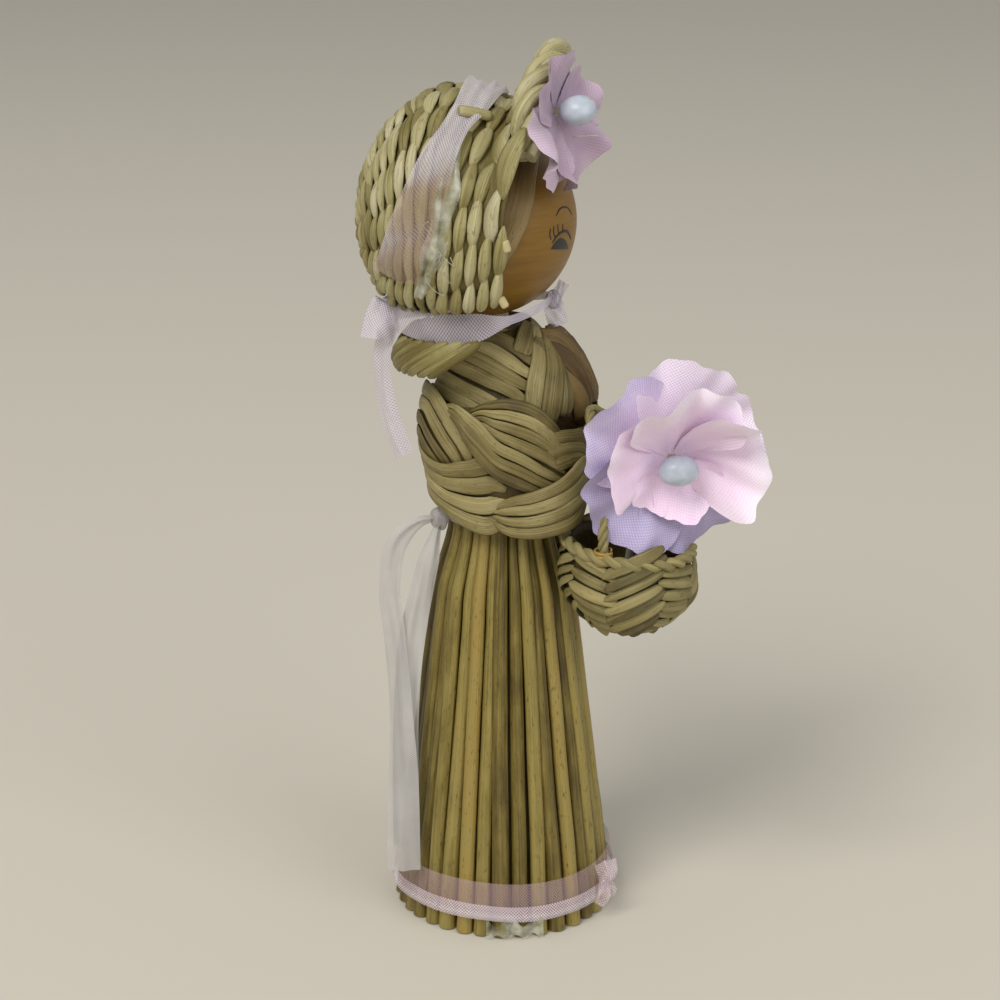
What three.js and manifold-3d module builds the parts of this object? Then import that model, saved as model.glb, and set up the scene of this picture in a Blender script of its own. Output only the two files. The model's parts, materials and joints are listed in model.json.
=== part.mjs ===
// A straw doll in a plaited bonnet, carrying a plaited basket with a cloth flower in it.
// Millimetres, +Z up. The doll faces -Y and its right side is towards -X.

import * as THREE from "three";
import { mergeVertices } from "three/addons/utils/BufferGeometryUtils.js";
import Module from "manifold-3d";

const wasm = await Module();
wasm.setup();

// Clearance between pieces that lie against each other on the real doll
const GAP = 0.3;

// Skirt: two rings of rush stems, spread at the hem and pinched round a peg at the waist
const STEMS_PER_RING = 17;
const STEM_DIAMETER = 3.3;
const STEM_PINCHED = 2.2;
const HEM_RADIUS = 17.4;
const SPREAD_HEIGHT = 14;
const HIP_HEIGHT = 50;
const WAIST_HEIGHT = 64;
const STEM_ABOVE_WAIST = 5;
const PEG_DIAMETER = 6;
const PEG_FOOT = 2;
const LEAN_DEG = 5;

// Bodice, measured up the leaning peg from the waist
const CHEST_RISE = 14;
const NECK_RISE = 29;
const CHEST_RADIUS = 9;
const NECK_RADIUS = 5.2;
const WRAP_THICKNESS = 1.6;
const WRAP_FRONT_LOW = 12;
const WRAP_BACK_LOW = 9;
const CHEST_FOLD = 3.4;
const WAIST_BAND = 0.6;
const BINDING_HEIGHT = 2;
const ARM_THICKNESS = 2.4;
const ARM_BACK_HALF = 8;
const ARM_SIDE_HALF = 10.2;
const ARM_BACK_RISE = 12.5;
const ARM_SIDE_RISE = 9.2;
const ARM_SIDE_SHARE = 0.6;
const HAND_START = 0.7;
const HAND_TAPER = 0.2;
const HAND_HALF = 4.6;
const HAND_RISE = 10.2;
const HAND_REACH = 3.6;
const ARM_EDGE = 0.4;
const PLAIT_RELIEF = 0.4;

// Head and bonnet, measured from the centre of the head
const HEAD_RISE = 44.8;
const HEAD_RADIUS = 14.2;
const HEAD_TURN_DEG = 22;
const PEG_IN_HEAD = 6;
const HAIR_THICKNESS = 0.8;
const HAIR_TURN_DEG = 124;
const HAIR_BACK_DEG = 30;
const HAIR_AHEAD_DEG = 4;
const BONNET_THICKNESS = 2.1;
const BONNET_EASE = 0.7;
const BONNET_CROWN_RISE = 2.3;
const BRIM_FLARE = 11;
const BONNET_FOOT = -11;
const PLAIT_SEAM_DEG = 74;
const BRIM_SIDE_DEG = 105;
const BRIM_TOP_DEG = 121;
const BRIM_CREASE = 0.22;
const FRILL_DROP = 5.6;
const FRILL_INSET = 0.25;
const FRILL_FLARE = 2;
const FRILL_THICKNESS = 1.6;
const FRILL_OPEN_DEG = 90;

// Ribbons
const RIBBON_THICKNESS = 0.5;
const NECK_RIBBON_HEIGHT = 4.4;
const NECK_RIBBON_BACK = 2.4;
const CROWN_RIBBON_WIDTH = 7;
const CROWN_RIBBON_TURN_DEG = 112;
const CROWN_RIBBON_TOP_DEG = 92;
const CROWN_RIBBON_NAPE_DEG = 56;
const TAIL_WIDTH = 6;
const TAIL_CURL = 0.7;
const TAIL_WAVE = 1.2;
const TAIL_CLEARANCE = 0.8;
const BOW_CURL = 0.3;
const SASH_HEIGHT = 3;
const SASH_ANGLE_DEG = 133;
const SASH_TAIL_AHEAD_DEG = 9;
const SASH_TAIL_BEHIND_DEG = 15;
const HEM_RIBBON_LOW = 3.2;
const HEM_RIBBON_HEIGHT = 6;
const HEM_BOW_DEG = 5;
const HEM_BOW_REACH = 3.4;
const HEM_BOW_RISE = 3.4;
const HEM_BOW_WIDTH = 2.6;
const NAPE_TAIL_WIDTH = 4.3;
const CHIN_TAIL_WIDTH = 2.5;
const KNOT_RADIUS = 1.7;

// Basket
const BASKET_RADIUS = 10;
const BASKET_FLOOR_RADIUS = 5;
const BASKET_DRAW_IN = 0.4;
const BASKET_DEPTH = 13.4;
const RIM_BELOW_WAIST = 1.4;
const BASKET_WALL = 1.7;
const BASKET_BELLY = 0.55;
const HANDLE_DIAMETER = 1.6;
const HANDLE_SPREAD = 0.9;

// Cloth flowers
const PETAL_THICKNESS = 0.6;
const PETAL_LAYER = 1.6;
const PETALS_PER_RING = 5;
const PETAL_NOTCH = 0.22;
const WIRE_DIAMETER = 1.2;
const FLOWER_RADIUS = 14.2;
const FLOWER_INNER_RADIUS = 10.2;
const FLOWER_AHEAD = 6.4;
const FLOWER_RISE = 14.2;
const FLOWER_TURN_DEG = 38;
const FLOWER_BEAD = 3;
const BEAD_FLATNESS = 0.75;
const BONNET_FLOWER_RADIUS = 9.6;
const BONNET_FLOWER_BEAD = 2.7;
const BONNET_FLOWER_RIGHT_DEG = 33;
const BONNET_FLOWER_UP_DEG = 43;
const BONNET_FLOWER_STANDOFF = 8;

const { degToRad, lerp, clamp } = THREE.MathUtils;
const vec = (x, y, z) => new THREE.Vector3(x, y, z);
const ease = (t) => THREE.MathUtils.smoothstep(t, 0, 1);
const UP = vec(0, 0, 1);

// A point at an angle from the front (growing towards the right side), at a radius and a height
function around(angleDeg, radius, height) {
  const angle = degToRad(angleDeg);
  return vec(-radius * Math.sin(angle), -radius * Math.cos(angle), height);
}

// Closed skin helpers
function signedVolume(position, index) {
  const [a, b, c] = [vec(), vec(), vec()];
  let sum = 0;
  for (let i = 0; i < index.length; i += 3) {
    a.fromBufferAttribute(position, index[i]);
    b.fromBufferAttribute(position, index[i + 1]);
    c.fromBufferAttribute(position, index[i + 2]);
    sum += a.dot(b.cross(c));
  }
  return sum / 6;
}

// Merges doubled points, drops slivers and turns the faces outwards
function closedSkin(geometry) {
  geometry.deleteAttribute("normal");
  geometry.deleteAttribute("uv");
  const skin = mergeVertices(geometry, 1e-3);
  const old = skin.index.array;
  const index = [];
  for (let i = 0; i < old.length; i += 3) {
    const corners = [old[i], old[i + 1], old[i + 2]];
    if (new Set(corners).size === 3) index.push(...corners);
  }
  if (signedVolume(skin.attributes.position, index) < 0) index.reverse();
  skin.setIndex(index);
  return skin;
}

function skinOf(points, triangles) {
  const geometry = new THREE.BufferGeometry().setFromPoints(points);
  geometry.setIndex(triangles);
  return closedSkin(geometry);
}

// A skin through rings of points, with a fan on each end
function loft(rings) {
  const sides = rings[0].length;
  const points = rings.flat();
  const triangles = [];
  for (let i = 0; i + 1 < rings.length; i++) {
    for (let j = 0; j < sides; j++) {
      const k = (j + 1) % sides;
      const [a, b, c, d] = [i * sides + j, i * sides + k, (i + 1) * sides + k, (i + 1) * sides + j];
      triangles.push(a, b, c, a, c, d);
    }
  }
  const last = (rings.length - 1) * sides;
  for (let j = 1; j + 1 < sides; j++) {
    triangles.push(0, j + 1, j, last, last + j, last + j + 1);
  }
  return skinOf(points, triangles);
}

// A sheet with a thickness: face(u, v, 1) is its outer face and face(u, v, 0) its inner one
function slab(columns, rows, face) {
  const points = [];
  const row = rows + 1;
  const layer = (columns + 1) * row;
  for (const side of [1, 0]) {
    for (let i = 0; i <= columns; i++) {
      for (let j = 0; j <= rows; j++) points.push(face(i / columns, j / rows, side));
    }
  }
  const triangles = [];
  const quad = (a, b, c, d) => triangles.push(a, b, c, a, c, d);
  for (let i = 0; i < columns; i++) {
    for (let j = 0; j < rows; j++) {
      const [a, b, c, d] = [i * row + j, (i + 1) * row + j, (i + 1) * row + j + 1, i * row + j + 1];
      quad(a, b, c, d);
      quad(layer + d, layer + c, layer + b, layer + a);
    }
    quad(i * row, layer + i * row, layer + (i + 1) * row, (i + 1) * row);
    const top = i * row + rows;
    quad(top, top + row, layer + top + row, layer + top);
  }
  const closed = face(0, 0, 1).distanceTo(face(1, 0, 1)) < 1e-6;
  for (let j = 0; j < rows && !closed; j++) {
    quad(j, j + 1, layer + j + 1, layer + j);
    const end = columns * row + j;
    quad(end, layer + end, layer + end + 1, end + 1);
  }
  return skinOf(points, triangles);
}

// A round tube along a smooth path
function tube(path, radius, steps) {
  const curveSegments = 3;
  const shape = new THREE.Shape().absarc(0, 0, radius, 0, 2 * Math.PI);
  const extrudePath = new THREE.CatmullRomCurve3(path);
  return closedSkin(new THREE.ExtrudeGeometry(shape, { steps, curveSegments, extrudePath }));
}

// A ribbon along a smooth path, its width square to the path and curled into a shallow channel.
// It is gathered where it leaves its knot, at the start of the path.
function ribbon(path, width, curl, steps, widthAlong) {
  const curve = new THREE.CatmullRomCurve3(path);
  const across = [-1, 0, 1];
  const rings = [];
  for (let i = 0; i <= steps; i++) {
    const point = curve.getPointAt(i / steps);
    const tangent = curve.getTangentAt(i / steps);
    const normal = vec().crossVectors(tangent, widthAlong(point)).normalize();
    const side = vec().crossVectors(normal, tangent).normalize();
    const spread = lerp(0.3, 1, ease(4 * i / steps));
    const place = (s, lift) => point.clone()
      .addScaledVector(side, s * spread * width / 2)
      .addScaledVector(normal, spread * curl * (1 - s * s) + lift);
    const upper = across.map((s) => place(s, RIBBON_THICKNESS / 2));
    const lower = across.map((s) => place(s, -RIBBON_THICKNESS / 2)).reverse();
    rings.push([...upper, ...lower]);
  }
  return loft(rings);
}

// A rounded lump, such as a knot or a bead
function lump(centre, radius, flatness = 1, turn = new THREE.Quaternion()) {
  const geometry = new THREE.SphereGeometry(radius, 10, 7);
  geometry.scale(1, 1, flatness).applyQuaternion(turn).translate(centre.x, centre.y, centre.z);
  return closedSkin(geometry);
}

// Joining and cutting
function solid(geometry) {
  return new wasm.Manifold(new wasm.Mesh({
    numProp: 3,
    vertProperties: geometry.attributes.position.array,
    triVerts: new Uint32Array(geometry.index.array),
  }));
}

function geometryOf(manifold) {
  const mesh = manifold.getMesh();
  const geometry = new THREE.BufferGeometry();
  geometry.setAttribute("position", new THREE.BufferAttribute(mesh.vertProperties, 3));
  geometry.setIndex(new THREE.BufferAttribute(mesh.triVerts, 1));
  return geometry;
}

const join = (...pieces) => geometryOf(pieces.map(solid).reduce((sum, piece) => sum.add(piece)));
const cut = (piece, tool) => geometryOf(solid(piece).subtract(solid(tool)));

// Finishes
const finish = (color, roughness) => ({ color, roughness, metalness: 0 });
const STEM = finish("#8a7638", 0.55);
const STEM_SHADED = finish("#7a6530", 0.6);
const PLAIT = finish("#9a8a50", 0.6);
const LEAF = finish("#87723c", 0.6);
const BEAD_WOOD = finish("#8a6a3a", 0.45);
const PEG_WOOD = finish("#c9a873", 0.7);
const TWINE = finish("#b09a6c", 0.9);
const RIBBON_WHITE = finish("#e6dfe0", 0.5);
const RIBBON_PINK = finish("#d9b3b8", 0.5);
const RIBBON_LILAC = finish("#cfc0d6", 0.5);
const PETAL_LILAC = finish("#cbb4d6", 0.8);
const PETAL_PINK = finish("#e3bdd0", 0.8);
const STAMEN = finish("#bcd0d6", 0.45);

const doll = new THREE.Group();

function add(parent, name, geometry, look) {
  geometry.computeVertexNormals();
  const mesh = new THREE.Mesh(geometry, new THREE.MeshStandardMaterial(look));
  mesh.name = name;
  parent.add(mesh);
  return mesh;
}

// Skirt stems: sizes at the hem, the hip and the waist follow from how they are packed there
const lean = degToRad(LEAN_DEG);
const spacing = (radius, count) => 2 * radius * Math.sin(Math.PI / count);
const stemTop = WAIST_HEIGHT + STEM_ABOVE_WAIST;
const halfStep = Math.sin(Math.PI / (2 * STEMS_PER_RING));
const hemCentre = (HEM_RADIUS + GAP / 2) / (1 + halfStep);
const hemWidth = spacing(hemCentre, 2 * STEMS_PER_RING) - GAP;
const hipCentre = (STEM_DIAMETER + GAP) / (2 * Math.sin(Math.PI / STEMS_PER_RING));
const pegShift = STEM_ABOVE_WAIST * Math.tan(lean);
const innerWaist = PEG_DIAMETER / 2 + pegShift + GAP + STEM_PINCHED / 2;
const outerWaist = innerWaist + STEM_PINCHED + GAP;
const waistRadius = outerWaist + STEM_PINCHED / 2;

function outerStem(z) {
  const waist = ease((z - HIP_HEIGHT) / (WAIST_HEIGHT - HIP_HEIGHT));
  const swell = clamp(z / SPREAD_HEIGHT, 0, 1);
  const flare = clamp(z / HIP_HEIGHT, 0, 1);
  const radius = lerp(lerp(hemCentre, hipCentre, flare), outerWaist, waist);
  const round = lerp(hemWidth, STEM_DIAMETER, swell);
  const pinched = spacing(outerWaist, STEMS_PER_RING) - GAP;
  return { radius, width: lerp(round, pinched, waist), depth: lerp(round, STEM_PINCHED, waist) };
}

// The inner stems stand in the row of the outer ones at the hem and in the grooves behind them above it
function innerStem(z) {
  const outer = outerStem(z);
  const waist = ease((z - HIP_HEIGHT) / (WAIST_HEIGHT - HIP_HEIGHT));
  const flare = clamp(z / HIP_HEIGHT, 0, 1);
  const hipInner = hipCentre - STEM_DIAMETER / 2 - GAP - STEM_PINCHED / 2;
  const round = lerp(hemWidth, spacing(hipInner, STEMS_PER_RING) - GAP, flare);
  const apart = (outer.width + round) / 2 + GAP;
  const beside = spacing(outer.radius, 2 * STEMS_PER_RING);
  const recess = Math.sqrt(Math.max(0, apart ** 2 - beside ** 2));
  const pinched = spacing(innerWaist, STEMS_PER_RING) - GAP;
  return {
    radius: lerp(outer.radius - recess, innerWaist, waist),
    width: lerp(round, pinched, waist),
    depth: lerp(round, STEM_PINCHED, waist),
  };
}

const skirtRadius = (z) => outerStem(z).radius + outerStem(z).depth / 2;

function stemGeometry(angleDeg, sizesAt) {
  const sides = 7;
  const heights = [
    0,
    SPREAD_HEIGHT * 0.5,
    SPREAD_HEIGHT,
    HIP_HEIGHT,
    lerp(HIP_HEIGHT, WAIST_HEIGHT, 0.5),
    WAIST_HEIGHT,
    stemTop,
  ];
  const outwards = around(angleDeg, 1, 0);
  const sideways = vec().crossVectors(UP, outwards);
  const rings = heights.map((z) => {
    const { radius, width, depth } = sizesAt(z);
    return Array.from({ length: sides }, (_, k) => {
      const turn = 2 * Math.PI * (k + 0.5) / sides;
      return vec(0, 0, z)
        .addScaledVector(outwards, radius + depth / 2 * Math.cos(turn))
        .addScaledVector(sideways, width / 2 * Math.sin(turn));
    });
  });
  return loft(rings);
}

for (let k = 0; k < STEMS_PER_RING; k++) {
  const pitch = 360 / STEMS_PER_RING;
  const number = String(k + 1).padStart(2, "0");
  add(doll, `skirt_stem_outer_${number}`, stemGeometry(k * pitch, outerStem), STEM);
  add(doll, `skirt_stem_inner_${number}`, stemGeometry((k + 0.5) * pitch, innerStem), STEM_SHADED);
}

// Waist binding and sash lie side by side round the stems, under the arms
function bandRoundSkirt(low, high, thickness) {
  return slab(2 * STEMS_PER_RING, 1, (u, v, side) => {
    const z = lerp(low, high, v);
    return around(360 * u, skirtRadius(z) + GAP + side * thickness, z);
  });
}

const sashLow = WAIST_HEIGHT - SASH_HEIGHT / 2;
const bindingLow = sashLow + SASH_HEIGHT + GAP;
add(doll, "waist_binding", bandRoundSkirt(bindingLow, bindingLow + BINDING_HEIGHT, WAIST_BAND), TWINE);

const sideways = (point) => vec(point.y, -point.x, 0).normalize();
const sashKnotRadius = skirtRadius(sashLow) + GAP + RIBBON_THICKNESS + KNOT_RADIUS * 0.6;
const sashKnot = around(SASH_ANGLE_DEG, sashKnotRadius, WAIST_HEIGHT - GAP);
const hemRibbonOutside = skirtRadius(HEM_RIBBON_LOW) + GAP + RIBBON_THICKNESS;

// A sash tail swings out from the knot, falls in two soft bends and ends over the hem ribbon
function sashTail(angleDeg, bulge) {
  const end = hemRibbonOutside + GAP + RIBBON_THICKNESS + TAIL_CLEARANCE;
  const down = (share) => lerp(sashLow, HEM_RIBBON_LOW, share);
  const path = [
    sashKnot,
    around(angleDeg, lerp(sashKnotRadius, end, 0.75) + bulge, down(0.05)),
    around(angleDeg, end + bulge, down(0.2)),
    around(angleDeg, end - TAIL_WAVE, down(0.4)),
    around(angleDeg, end - TAIL_WAVE / 3, down(0.68)),
    around(angleDeg, end, down(0.94)),
  ];
  return ribbon(path, TAIL_WIDTH, TAIL_CURL, 12, sideways);
}

add(doll, "sash_ribbon", join(
  bandRoundSkirt(sashLow, sashLow + SASH_HEIGHT, RIBBON_THICKNESS),
  lump(sashKnot, KNOT_RADIUS),
  sashTail(SASH_ANGLE_DEG - SASH_TAIL_AHEAD_DEG, TAIL_WAVE / 2),
  sashTail(SASH_ANGLE_DEG + SASH_TAIL_BEHIND_DEG, -TAIL_WAVE / 3),
), RIBBON_WHITE);

// Hem ribbon with a small bow at the front
const hemKnotRise = HEM_RIBBON_LOW + HEM_RIBBON_HEIGHT / 2;
const hemKnot = around(HEM_BOW_DEG, hemRibbonOutside + KNOT_RADIUS * 0.5, hemKnotRise);

function hemBowTail(direction, rise) {
  const path = [
    hemKnot,
    hemKnot.clone().add(vec(direction * HEM_BOW_REACH * 0.6, -1.4, rise * 0.5)),
    hemKnot.clone().add(vec(direction * HEM_BOW_REACH, -1, rise)),
  ];
  return ribbon(path, HEM_BOW_WIDTH, BOW_CURL, 4, () => vec(direction * 0.3, 1, 0.4));
}

add(doll, "hem_ribbon", join(
  bandRoundSkirt(HEM_RIBBON_LOW, HEM_RIBBON_LOW + HEM_RIBBON_HEIGHT, RIBBON_THICKNESS),
  lump(hemKnot, KNOT_RADIUS),
  hemBowTail(-1, HEM_BOW_RISE),
  hemBowTail(1, HEM_BOW_RISE),
  hemBowTail(-1, -HEM_BOW_RISE),
  hemBowTail(1, -HEM_BOW_RISE),
), RIBBON_PINK);

// Upper body, built along the leaning peg
const upper = new THREE.Group();
upper.position.z = WAIST_HEIGHT;
upper.rotation.x = -lean;
doll.add(upper);

const pegRadius = PEG_DIAMETER / 2;
const pegLength = HEAD_RISE + PEG_IN_HEAD + PEG_FOOT;
const peg = closedSkin(new THREE.CylinderGeometry(pegRadius, pegRadius, pegLength, 20));
peg.rotateX(Math.PI / 2).translate(0, 0, pegLength / 2 - PEG_FOOT);
add(upper, "neck_peg", peg, PEG_WOOD);

const coreFoot = STEM_ABOVE_WAIST + waistRadius * Math.sin(lean) + GAP;
const coreFootRadius = waistRadius - GAP;

function coreRadius(rise) {
  if (rise < CHEST_RISE) {
    return lerp(coreFootRadius, CHEST_RADIUS, ease((rise - coreFoot) / (CHEST_RISE - coreFoot)));
  }
  return lerp(CHEST_RADIUS, NECK_RADIUS, ease((rise - CHEST_RISE) / (NECK_RISE - CHEST_RISE)));
}

function bodiceCore() {
  const bore = pegRadius + GAP;
  const rises = Array.from({ length: 8 }, (_, i) => lerp(coreFoot, NECK_RISE, i / 7));
  const profile = [
    new THREE.Vector2(bore, coreFoot),
    ...rises.map((rise) => new THREE.Vector2(coreRadius(rise), rise)),
    new THREE.Vector2(bore, NECK_RISE),
    new THREE.Vector2(bore, coreFoot),
  ];
  return closedSkin(new THREE.LatheGeometry(profile, 20).rotateX(Math.PI / 2));
}

add(upper, "bodice_core", bodiceCore(), LEAF);

// Where a left and a right piece meet on the middle plane, each stops this far from it
const middleGap = (radius) => THREE.MathUtils.radToDeg(Math.asin(GAP / radius));

// Ridges of a plait, running as a herringbone
function ridge(along, across) {
  return PLAIT_RELIEF * Math.abs(Math.sin(Math.PI * (along + Math.abs(across - 0.5) * 2)));
}

// Shoulder wraps: leaves folded over each shoulder, thickest where they cross on the chest
function shoulderWrap(hand) {
  const edge = middleGap(NECK_RADIUS);
  return slab(16, 5, (u, v, side) => {
    const angle = lerp(edge, 180 - edge, u);
    const low = lerp(WRAP_FRONT_LOW, WRAP_BACK_LOW, u);
    const rise = lerp(low, NECK_RISE, v);
    const fold = CHEST_FOLD * Math.max(0, Math.cos(degToRad(angle))) ** 3 * Math.sin(Math.PI * v);
    const thickness = WRAP_THICKNESS + fold;
    return around(hand * angle, coreRadius(rise) + GAP + side * thickness, rise);
  });
}

// Arms: flat plaits from the middle of the back round each side to the joined hands
const bandRadius = waistRadius + GAP + WAIST_BAND + pegShift;

function armSeat(rise) {
  const seat = (r) => coreRadius(r) + WRAP_THICKNESS + 2 * GAP;
  if (rise > coreFoot) return seat(rise);
  return lerp(bandRadius + GAP, seat(coreFoot), ease(rise / coreFoot));
}

function armFace(hand, u, v, side) {
  const edge = middleGap(CHEST_RADIUS);
  const angle = lerp(180 - edge, edge, u);
  const toSide = ease(u / ARM_SIDE_SHARE);
  const toHand = ease((u - HAND_START) / HAND_TAPER);
  const toReach = ease((u - ARM_SIDE_SHARE) / (HAND_START + HAND_TAPER - ARM_SIDE_SHARE));
  const half = lerp(lerp(ARM_BACK_HALF, ARM_SIDE_HALF, toSide), HAND_HALF, toHand);
  const middle = lerp(lerp(ARM_BACK_RISE, ARM_SIDE_RISE, toSide), HAND_RISE, toHand);
  const rise = middle + half * (2 * v - 1);
  const seat = lerp(armSeat(rise), armSeat(HAND_RISE) + HAND_REACH, toReach);
  const thickness = ARM_THICKNESS * lerp(ARM_EDGE, 1, Math.sin(Math.PI * v)) + ridge(5 * u, v);
  return around(hand * angle, seat + side * thickness, rise);
}

for (const [name, hand] of [["right", 1], ["left", -1]]) {
  add(upper, `shoulder_wrap_${name}`, shoulderWrap(hand), LEAF);
  add(upper, `arm_${name}`, slab(24, 6, (u, v, side) => armFace(hand, u, v, side)), LEAF);
}

// Head, with everything that is fixed to it
const head = new THREE.Group();
head.position.z = HEAD_RISE;
head.rotation.z = degToRad(HEAD_TURN_DEG);
upper.add(head);

function headBead() {
  const ball = closedSkin(new THREE.SphereGeometry(HEAD_RADIUS, 24, 16).rotateX(Math.PI / 2));
  const boreRadius = pegRadius + GAP;
  const bore = closedSkin(new THREE.CylinderGeometry(boreRadius, boreRadius, 3 * HEAD_RADIUS, 20));
  return cut(ball, bore.rotateX(Math.PI / 2));
}

add(head, "head_bead", headBead(), BEAD_WOOD);

// Bonnet surface: a ball about the axis from front to back, fuller on top, with a flared brim.
// The polar angle grows from the back of the head, and the turn angle is 0 on top.
const bonnetBase = HEAD_RADIUS + HAIR_THICKNESS + BONNET_THICKNESS + 2 * GAP + BONNET_EASE;
const brimEdge = (turn) => lerp(BRIM_SIDE_DEG, BRIM_TOP_DEG, Math.max(0, Math.cos(turn)) ** 2);

function bonnetRadius(polarDeg, turn) {
  const top = Math.max(0, Math.cos(turn));
  const brimShare = Math.max(0, Math.cos(0.75 * turn)) ** 2;
  const crown = BONNET_CROWN_RISE * top * Math.sin(degToRad(polarDeg)) ** 2;
  const creaseDeg = lerp(PLAIT_SEAM_DEG, brimEdge(turn), 1 - BRIM_CREASE);
  const crease = crown * ease((polarDeg - PLAIT_SEAM_DEG) / (creaseDeg - PLAIT_SEAM_DEG));
  const brim = BRIM_FLARE * brimShare * ease((polarDeg - creaseDeg) / (brimEdge(turn) - creaseDeg));
  return bonnetBase + crown - crease + brim;
}

function bonnetPoint(polarDeg, turn) {
  const polar = degToRad(polarDeg);
  const radius = bonnetRadius(polarDeg, turn);
  const ring = radius * Math.sin(polar);
  return vec(ring * Math.sin(turn), radius * Math.cos(polar), ring * Math.cos(turn));
}

function bonnetNormal(polarDeg, turn) {
  const step = 0.5;
  const along = bonnetPoint(polarDeg + step, turn).sub(bonnetPoint(polarDeg - step, turn));
  const round = bonnetPoint(polarDeg, turn + 0.01).sub(bonnetPoint(polarDeg, turn - 0.01));
  return along.cross(round).normalize();
}

// One plait of the bonnet, between two polar angles, cut level above the neck ribbon
function bonnetPlait(fromDeg, toDeg, rows) {
  const poleDeg = 1;
  const shell = slab(36, rows, (u, v, side) => {
    const turn = Math.PI * (2 * u - 1);
    const polarDeg = lerp(fromDeg, toDeg(turn), v);
    if (polarDeg < poleDeg) return vec(0, bonnetBase - (1 - side) * BONNET_THICKNESS, 0);
    const lift = side * ridge(12 * u, v) * Math.sin(Math.PI * v) - (1 - side) * BONNET_THICKNESS;
    return bonnetPoint(polarDeg, turn).addScaledVector(bonnetNormal(polarDeg, turn), lift);
  });
  const span = 4 * bonnetBase;
  const below = closedSkin(new THREE.BoxGeometry(span, span, span).translate(0, 0, BONNET_FOOT - span / 2));
  return cut(shell, below);
}

const seamGapDeg = THREE.MathUtils.radToDeg(GAP / bonnetBase);
add(head, "bonnet_crown_plait", bonnetPlait(0, () => PLAIT_SEAM_DEG - seamGapDeg, 6), PLAIT);
add(head, "bonnet_brim_plait", bonnetPlait(PLAIT_SEAM_DEG, brimEdge, 9), PLAIT);

// Hair: leaf strips laid over the bead from ear to ear, under the bonnet
add(head, "hair_strips", slab(24, 4, (u, v, side) => {
  const turn = degToRad(lerp(-HAIR_TURN_DEG, HAIR_TURN_DEG, u));
  const polar = degToRad(lerp(HAIR_BACK_DEG, BRIM_SIDE_DEG + HAIR_AHEAD_DEG, v));
  const radius = HEAD_RADIUS + GAP + side * HAIR_THICKNESS;
  const ring = radius * Math.sin(polar);
  return vec(ring * Math.sin(turn), radius * Math.cos(polar), ring * Math.cos(turn));
}), LEAF);

// Frill: the plait ends that stand out under the ribbon round the nape
const ribbonTop = BONNET_FOOT - GAP;
const ribbonLow = ribbonTop - NECK_RIBBON_HEIGHT;
const neckRibbonRadius = Math.sqrt(HEAD_RADIUS ** 2 - ribbonTop ** 2) + 2 * GAP + NECK_RIBBON_BACK;
add(head, "bonnet_frill", slab(24, 2, (u, v, side) => {
  const angle = lerp(FRILL_OPEN_DEG, 360 - FRILL_OPEN_DEG, u);
  const rise = lerp(ribbonLow - GAP, ribbonLow - FRILL_DROP, v);
  const thickness = FRILL_THICKNESS + ridge(9 * u, v);
  const radius = neckRibbonRadius - FRILL_INSET + FRILL_FLARE * v + side * thickness;
  return around(angle, radius, rise);
}), PLAIT);

// Ribbon over the crown, from nape to nape
add(head, "crown_ribbon", slab(28, 2, (u, v, side) => {
  const turn = degToRad(lerp(-CROWN_RIBBON_TURN_DEG, CROWN_RIBBON_TURN_DEG, u));
  const middleDeg = lerp(CROWN_RIBBON_NAPE_DEG, CROWN_RIBBON_TOP_DEG, Math.cos(turn * 0.8) ** 2);
  const halfDeg = THREE.MathUtils.radToDeg(CROWN_RIBBON_WIDTH / 2 / bonnetBase);
  const polarDeg = middleDeg + halfDeg * (2 * v - 1);
  const lift = PLAIT_RELIEF + GAP + side * RIBBON_THICKNESS;
  return bonnetPoint(polarDeg, turn).addScaledVector(bonnetNormal(polarDeg, turn), lift);
}), RIBBON_PINK);

// Neck ribbon: a band under the bonnet, a bow at the nape and a small knot under the chin
function neckRibbon() {
  const band = slab(28, 1, (u, v, side) => {
    const radius = neckRibbonRadius + side * RIBBON_THICKNESS;
    return around(360 * u, radius, lerp(ribbonLow, ribbonTop, v)).add(vec(0, NECK_RIBBON_BACK, 0));
  });
  const middle = (ribbonLow + ribbonTop) / 2;
  const back = vec(0, NECK_RIBBON_BACK + neckRibbonRadius + KNOT_RADIUS * 0.6, middle);
  const front = vec(0, NECK_RIBBON_BACK - neckRibbonRadius - KNOT_RADIUS * 0.4, middle);
  const acrossX = () => vec(1, 0, 0);
  // Tail paths are in widths of the tail, from the knot or from a point that the tail hangs from
  const tail = (start, from, offsets, width, curl, steps) => {
    const path = [start, ...offsets.map((at) => from.clone().addScaledVector(vec(...at), width))];
    return ribbon(path, width, curl, steps, acrossX);
  };
  const armOutside = CHEST_RADIUS + WRAP_THICKNESS + 2 * GAP + ARM_THICKNESS + PLAIT_RELIEF;
  const hang = vec(0, Math.max(back.y, armOutside + TAIL_CLEARANCE + TAIL_CURL), middle);
  const shortTail = [[-0.2, 0.55, -0.15], [-0.4, 0.75, -0.8], [-0.4, 0.6, -1.4]];
  const longTail = [[0.3, 0.3, -0.7], [0.4, 0.4, -2.1], [0.3, 0.2, -3.5], [0.2, 0.1, -4.7]];
  return join(
    band,
    lump(back, KNOT_RADIUS * 1.1),
    tail(back, back, shortTail, NAPE_TAIL_WIDTH, TAIL_CURL, 7),
    tail(back, hang, longTail, NAPE_TAIL_WIDTH, TAIL_CURL, 12),
    lump(front, KNOT_RADIUS * 0.8),
    tail(front, front, [[0.2, -0.65, -0.65], [0.4, -0.9, -1.6]], CHIN_TAIL_WIDTH, BOW_CURL, 5),
    tail(front, front, [[-0.3, -0.8, 0.1], [-0.5, -1.4, 0.2]], CHIN_TAIL_WIDTH, BOW_CURL, 5),
  );
}

add(head, "neck_ribbon", neckRibbon(), RIBBON_LILAC);

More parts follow.
